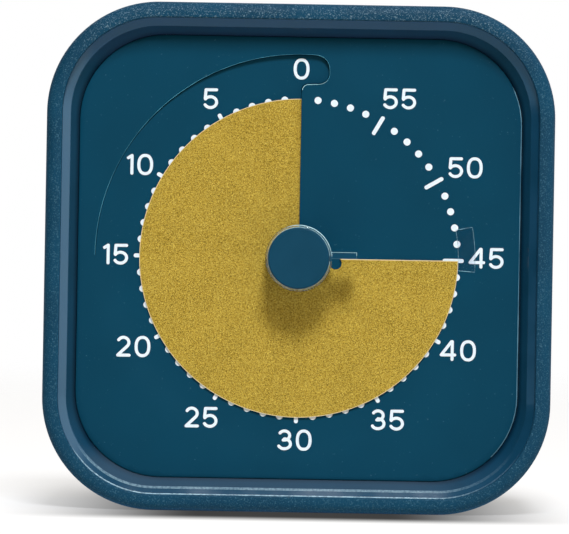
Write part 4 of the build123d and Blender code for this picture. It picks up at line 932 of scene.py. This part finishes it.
# painted highlights on its edges, most on the upper right and on the pointer's upper edge, and a painted
# reflection in a ring round the rim
upward = combine("ADD", product(spot["X"], 0.6), spot["Z"])
upper_edge = combine("GREATER_THAN", spot["Z"], axis_height + 0.55 * mm)
highlight_share = product(
    ramp(upward, 43 * mm, 51 * mm, 0.35, 1.15),
    combine("MAXIMUM", upper_edge, rest_of(product(pointing, 0.85))),
)
# the painted reflection, in a ring round the rim's upper right
reflection_ring = product(
    between(off_axis(spot), 5.69 * mm, 5.85 * mm),
    combine("LESS_THAN", spot["Y"], -24.6 * mm), ramp(upward, 47 * mm, 51 * mm, 0.1, 0.7),
)
turned, _ = edge_turn(tree, 0.2 * mm)
edges = combine("MAXIMUM", spread(turned, 0.99, 0.86, 0, 0.85), reflection_ring)
frosted(tinted, product(edges, highlight_share), (0.50, 0.86, 1.0))
coat(clear_plastic, "knob_shell")

# so thin a tab bends no light: it is plainly see-through, with a little shine and painted highlights on its
# edges, brightest where they face up or down
clear_tab = bpy.data.materials.new("clear_tab")
clear_tab.use_nodes = True
tree = clear_tab.node_tree
tree.nodes.remove(tree.nodes["Principled BSDF"])
place = tree.nodes.new("ShaderNodeTexCoord").outputs["Object"]
open_sheet = add_node(tree, "ShaderNodeBsdfTransparent", {"Color": (0.96, 0.97, 0.98, 1)})
shine = add_node(tree, "ShaderNodeBsdfGlossy", {"Roughness": 0.12})
shine_share = spread(blotches(place, 1.5 * mm), 0.35, 0.65, 0.01, 0.05)
sheet = blended(shine_share, open_sheet.outputs[0], shine.outputs[0])
turned, rounded = edge_turn(tree, 0.18 * mm)
patchy = spread(blotches(place, 1.2 * mm, 3), 0.4, 0.6, 0.25, 0.8)
facing_up = spread(combine("ABSOLUTE", axes_of(rounded)["Z"]), 0.1, 0.5, 0.7, 1.5)
edge_highlight = product(spread(turned, 0.99, 0.88), patchy, facing_up)
frosted(sheet, edge_highlight, (0.30, 0.60, 0.80))
coat(clear_tab, "keeper_tab")


# ---- moulded plastics --------------------------------------------------------
# The knob's cap, the two housings and the door are injection moulded; each has a fine spark-eroded
# grain and slightly broken edges.  The cap is glued in, and the door hangs on two pins.


def moulded(name, colour, roughness, grain=0.3 * mm, depth=0.006 * mm, specular=0.4):
    """Moulded plastic with a fine grain, a slightly cloudy colour and broken edges."""
    material, shader, place = finish(name, colour, roughness, specular=specular)
    cloud = blotches(place, 7 * mm, 3)
    dust = spread(blotches(place, 0.4 * mm, 3), 0.68, 0.8, 0, 0.35)
    dusty = tint(dust, shades(cloud, colour, 0.93, 1.06), shade(colour, 1.6))
    surface(shader, dusty, cloud, roughness - 0.05, roughness + 0.07)
    relief(shader, blotches(place, grain), depth, 0.15 * mm)
    return material


coat(moulded("cap_plastic", (0.0055, 0.0490, 0.096), 0.34, specular=0.06), "knob_cap")
housing_plastic = moulded(
    "housing_plastic", (0.0045, 0.0420, 0.0900), 0.15, grain=0.4 * mm, depth=0.004 * mm, specular=0.3,
)
tree = housing_plastic.node_tree
shader = tree.nodes["Principled BSDF"]
place = tree.nodes["Texture Coordinate"].outputs["Object"]
painted = shader.inputs["Base Color"].links[0].from_socket
wall = axes_of(place)
in_recess = combine("GREATER_THAN", wall["Y"], -19.4 * mm)
top_side = product(ramp(wall["Z"], 76 * mm, 82 * mm, 0, 0.5), ramp(wall["X"], 20 * mm, 36 * mm, 1, 0.2))
left_side = product(ramp(wall["X"], -36 * mm, -39 * mm, 0, 0.5), rest_of(product(in_recess, 0.88)))
low_side = product(ramp(wall["Z"], 12 * mm, 7 * mm), ramp(wall["X"], 18 * mm, 36 * mm, 1, 0.15))
# painted highlights along the two edges of its slope at the bottom, the front one brighter than the rear one
slope_highlights = combine(
    "MAXIMUM", between(wall["Y"], -20.35 * mm, -20.13 * mm),
    product(between(wall["Y"], -19.62 * mm, -19.36 * mm), 0.45),
)
highlight_breakup = spread(blotches(place, 0.5 * mm, 3), 0.35, 0.6, 0.45, 1)
# with them go painted shade in the corner by the dial, and painted light: a bluer top, and a paler left side
# and bottom
wired(shader, {"Base Color": layered(
    painted, (ramp(wall["Y"], -18.2 * mm, dial_y * mm, 0, 0.9), (0.0003, 0.008, 0.022)),
    (top_side, (0.016, 0.044, 0.125)), (left_side, (0.06, 0.115, 0.18)),
    (product(low_side, in_recess, 0.5), (0.05, 0.09, 0.14)),
    (product(low_side, highlight_breakup, slope_highlights), (0.30, 0.48, 0.60)),
)})
coat(housing_plastic, "front_housing")
back_plastic = moulded("back_plastic", (0.0085, 0.0520, 0.098), 0.42, grain=0.22 * mm, depth=0.014 * mm)
coat(back_plastic, "rear_housing", "battery_door")

# ---- cell and its contacts ---------------------------------------------------
# A drawn steel AA can in a shrunk printed sleeve.  The contacts are stamped from nickel-plated
# strip, pushed into slots of the bay, and the negative one carries a cone-shaped wire spring.


def metal(name, colour, roughness, stretch=(1, 1, 1), line=0.25 * mm):
    """Bare metal: drawn or turned lines along an axis, and duller clouds where it was handled."""
    material, shader, place = finish(name, colour, roughness, metallic=1.0)
    cloud = blotches(place, 3 * mm, 3)
    lines = blotches(place, line, 2, stretch)
    worn = combine("ADD", product(cloud, 0.6), product(lines, 0.4))
    surface(shader, shades(cloud, colour, 0.82, 1.06), worn, roughness - 0.07, roughness + 0.12)
    relief(shader, lines, 0.002 * mm, 0.08 * mm)
    return material


cell_wrap, shader, place = finish("cell_wrap", (0.02, 0.021, 0.024), 0.3)
along = axes_of(place)["X"]
wrapped = between(along, -23.1 * mm, 24.9 * mm)
wrap = layered(
    stirred(blotches(place, 4 * mm, 3), (0.018, 0.019, 0.022), (0.03, 0.032, 0.036)),
    (between(along, 11 * mm, 24.9 * mm), (0.45, 0.16, 0.045)),
    (between(along, 10.3 * mm, 11 * mm), (0.7, 0.7, 0.68)), (rest_of(wrapped), (0.62, 0.61, 0.59)),
)
surface(shader, wrap, blotches(place, 2 * mm, 3), 0.22, 0.38)
wired(shader, {"Metallic": rest_of(wrapped)})
relief(shader, blotches(place, 1.2 * mm, 2, (6, 1, 1)), 0.01 * mm, 0.25 * mm)
coat(cell_wrap, "aa_cell")
coat(metal("nickel", (0.66, 0.64, 0.60), 0.24, (1, 12, 1)), "positive_contact", "negative_contact")

# ---- spindle, clutch and cam -------------------------------------------------
# A turned steel spindle carries the knob, the disk's acetal hub, a bronze collet against which a
# three-legged steel spring slips, and the acetal cam that lifts the alarm spring.
coat(metal("turned_steel", (0.58, 0.58, 0.60), 0.2, (1, 0.25, 1), 0.3 * mm), "spindle")
coat(metal("bronze", (0.58, 0.36, 0.13), 0.28, (1, 0.25, 1)), "clutch_collet")
coat(metal("spring_steel", (0.42, 0.41, 0.40), 0.3, (8, 1, 1)), "clutch_spring")
coat(moulded("hub_white", (0.70, 0.71, 0.69), 0.38), "disk_hub")
coat(moulded("cam_red", (0.36, 0.035, 0.02), 0.4), "alarm_cam")

# ---- gear train --------------------------------------------------------------
# Acetal wheels with their pinions moulded on, in the maker's usual mix of natural white and black
# so that no wheel is swapped at assembly.  They turn in plain bearings of the movement's plates.


def acetal(name, colour):
    """Waxy gear plastic, into which light sinks a little."""
    material, shader, place = finish(name, colour, 0.34)
    cloud = blotches(place, 1.6 * mm, 3)
    surface(shader, shades(cloud, colour, 0.9, 1.05), cloud, 0.28, 0.42)
    wired(shader, {"Subsurface Weight": 0.15, "Subsurface Radius": (0.6 * mm, 0.5 * mm, 0.4 * mm)})
    relief(shader, blotches(place, 0.2 * mm), 0.004 * mm, 0.05 * mm)
    return material


coat(acetal("natural_acetal", (0.74, 0.73, 0.67)), "centre_wheel", "step_wheel")
coat(acetal("cream_acetal", (0.68, 0.62, 0.44)), "third_wheel")
coat(acetal("black_acetal", (0.022, 0.022, 0.024)), "second_wheel", "rotor_pinion")

# ---- stepping motor ----------------------------------------------------------
# A plate of soft iron bridges the poles round the rotor and another runs through the coil, both
# punched from sheet; a sintered magnet turns between them, and a wound nylon bobbin drives it.
coat(metal("soft_iron", (0.36, 0.355, 0.35), 0.38, (10, 1, 1), 0.2 * mm), "stator", "coil_core")
coat(metal("magnet", (0.20, 0.195, 0.20), 0.45), "rotor_magnet")
coat(moulded("bobbin_nylon", (0.62, 0.60, 0.52), 0.42), "coil_bobbin")
enamelled, shader, place = finish("enamelled_copper", (0.52, 0.16, 0.05), 0.26, metallic=0.85)
wire_pitch, waves_per_scale = 0.16 * mm, 3.1
turns = add_node(shader.id_data, "ShaderNodeTexWave", {
    "Vector": place, "Scale": 1 / wire_pitch / waves_per_scale, "Distortion": 0.4,
}).outputs["Fac"]
wired(shader, {"Base Color": tint(turns, (0.22, 0.055, 0.018), (0.62, 0.21, 0.07))})
relief(shader, turns, 0.05 * mm)
coat(enamelled, "coil_winding")

# ---- circuit board -----------------------------------------------------------
# A small one-sided board, with its chip under a blob of black resin, a tin-plated crystal can,
# and a bent strip with its contact post, which the cam closes at zero.
board_green, shader, place = finish("board_green", (0.012, 0.10, 0.035), 0.3)
tree = shader.id_data
flat_place = add_node(tree, "ShaderNodeMapping", {"Vector": place, "Rotation": (math.radians(90), 0, 0)})
tracks = add_node(tree, "ShaderNodeTexBrick", {
    "Vector": flat_place.outputs[0], "Scale": 1 / (9 * mm), "Mortar Size": 0.035,
    "Color1": (0.010, 0.085, 0.03, 1), "Color2": (0.013, 0.10, 0.036, 1), "Mortar": (0.02, 0.17, 0.06, 1),
}).outputs
resin = combine("LESS_THAN", axes_of(place)["Y"], -6.62 * mm)
board_colour = tint(resin, tracks["Color"], (0.012, 0.012, 0.013))
surface(shader, board_colour, blotches(place, 2 * mm, 3), 0.22, 0.4)
relief(shader, tracks["Fac"], 0.02 * mm, 0.06 * mm)
coat(board_green, "circuit_board")
coat(metal("tin", (0.70, 0.70, 0.69), 0.18), "quartz_crystal")
coat(metal("phosphor_bronze", (0.62, 0.42, 0.20), 0.25, (1, 1, 8)), "alarm_spring", "alarm_contact")

# ---- movement case -----------------------------------------------------------
# Two shallow trays moulded in black plastic, with the bearings of the wheels moulded in.  Screws
# through their ears hold them together.
tray_black = moulded("movement_plastic", (0.030, 0.031, 0.034), 0.42, grain=0.25 * mm, depth=0.012 * mm)
coat(tray_black, "movement_front", "movement_rear")

# ---- sounder and switch ------------------------------------------------------
# A piezo sounder in its own moulded can, pushed into a ring of the back shell, and a slide switch
# whose moulded slider reaches out at the back.
coat(moulded("can_black", (0.014, 0.014, 0.015), 0.28, specular=0.5), "buzzer", "switch_body")
coat(moulded("slider_grey", (0.16, 0.17, 0.18), 0.42), "switch_slider")

# ---- leads -------------------------------------------------------------------
# Short stranded wires in coloured plastic, stripped and tinned where they meet the board and the
# contacts, and laid through the holes of the housings.
board_face = -5.6 * mm


def covered_wire(name, colour, tinned_from):
    """Insulated wire, bare in front of the board's face and behind another depth."""
    material, shader, place = finish(name, colour, 0.35)
    deep = axes_of(place)["Y"]
    bare = rest_of(between(deep, board_face, tinned_from))
    cloud = blotches(place, 1.5 * mm, 3)
    strand = tint(bare, shades(cloud, colour, 0.85, 1.1), (0.62, 0.61, 0.58))
    surface(shader, strand, cloud, 0.28, 0.42)
    wired(shader, {"Metallic": bare})
    relief(shader, blotches(place, 0.3 * mm), 0.01 * mm)
    return material


coat(covered_wire("wire_red", (0.42, 0.012, 0.010), 20 * mm), "positive_lead")
coat(covered_wire("wire_black", (0.012, 0.012, 0.013), 20 * mm), "negative_lead")
coat(covered_wire("wire_blue", (0.012, 0.06, 0.30), 12.7 * mm), "buzzer_leads")
coat(covered_wire("wire_white", (0.66, 0.66, 0.64), 11.2 * mm), "switch_leads")

# ---- screws ------------------------------------------------------------------
# Zinc-plated self-tapping screws with cross recesses: short ones close the movement, and long
# ones reach from deep tubes in the back into the bosses of the front housing.
coat(metal("zinc", (0.60, 0.61, 0.63), 0.26), "movement_screws", "housing_screws")
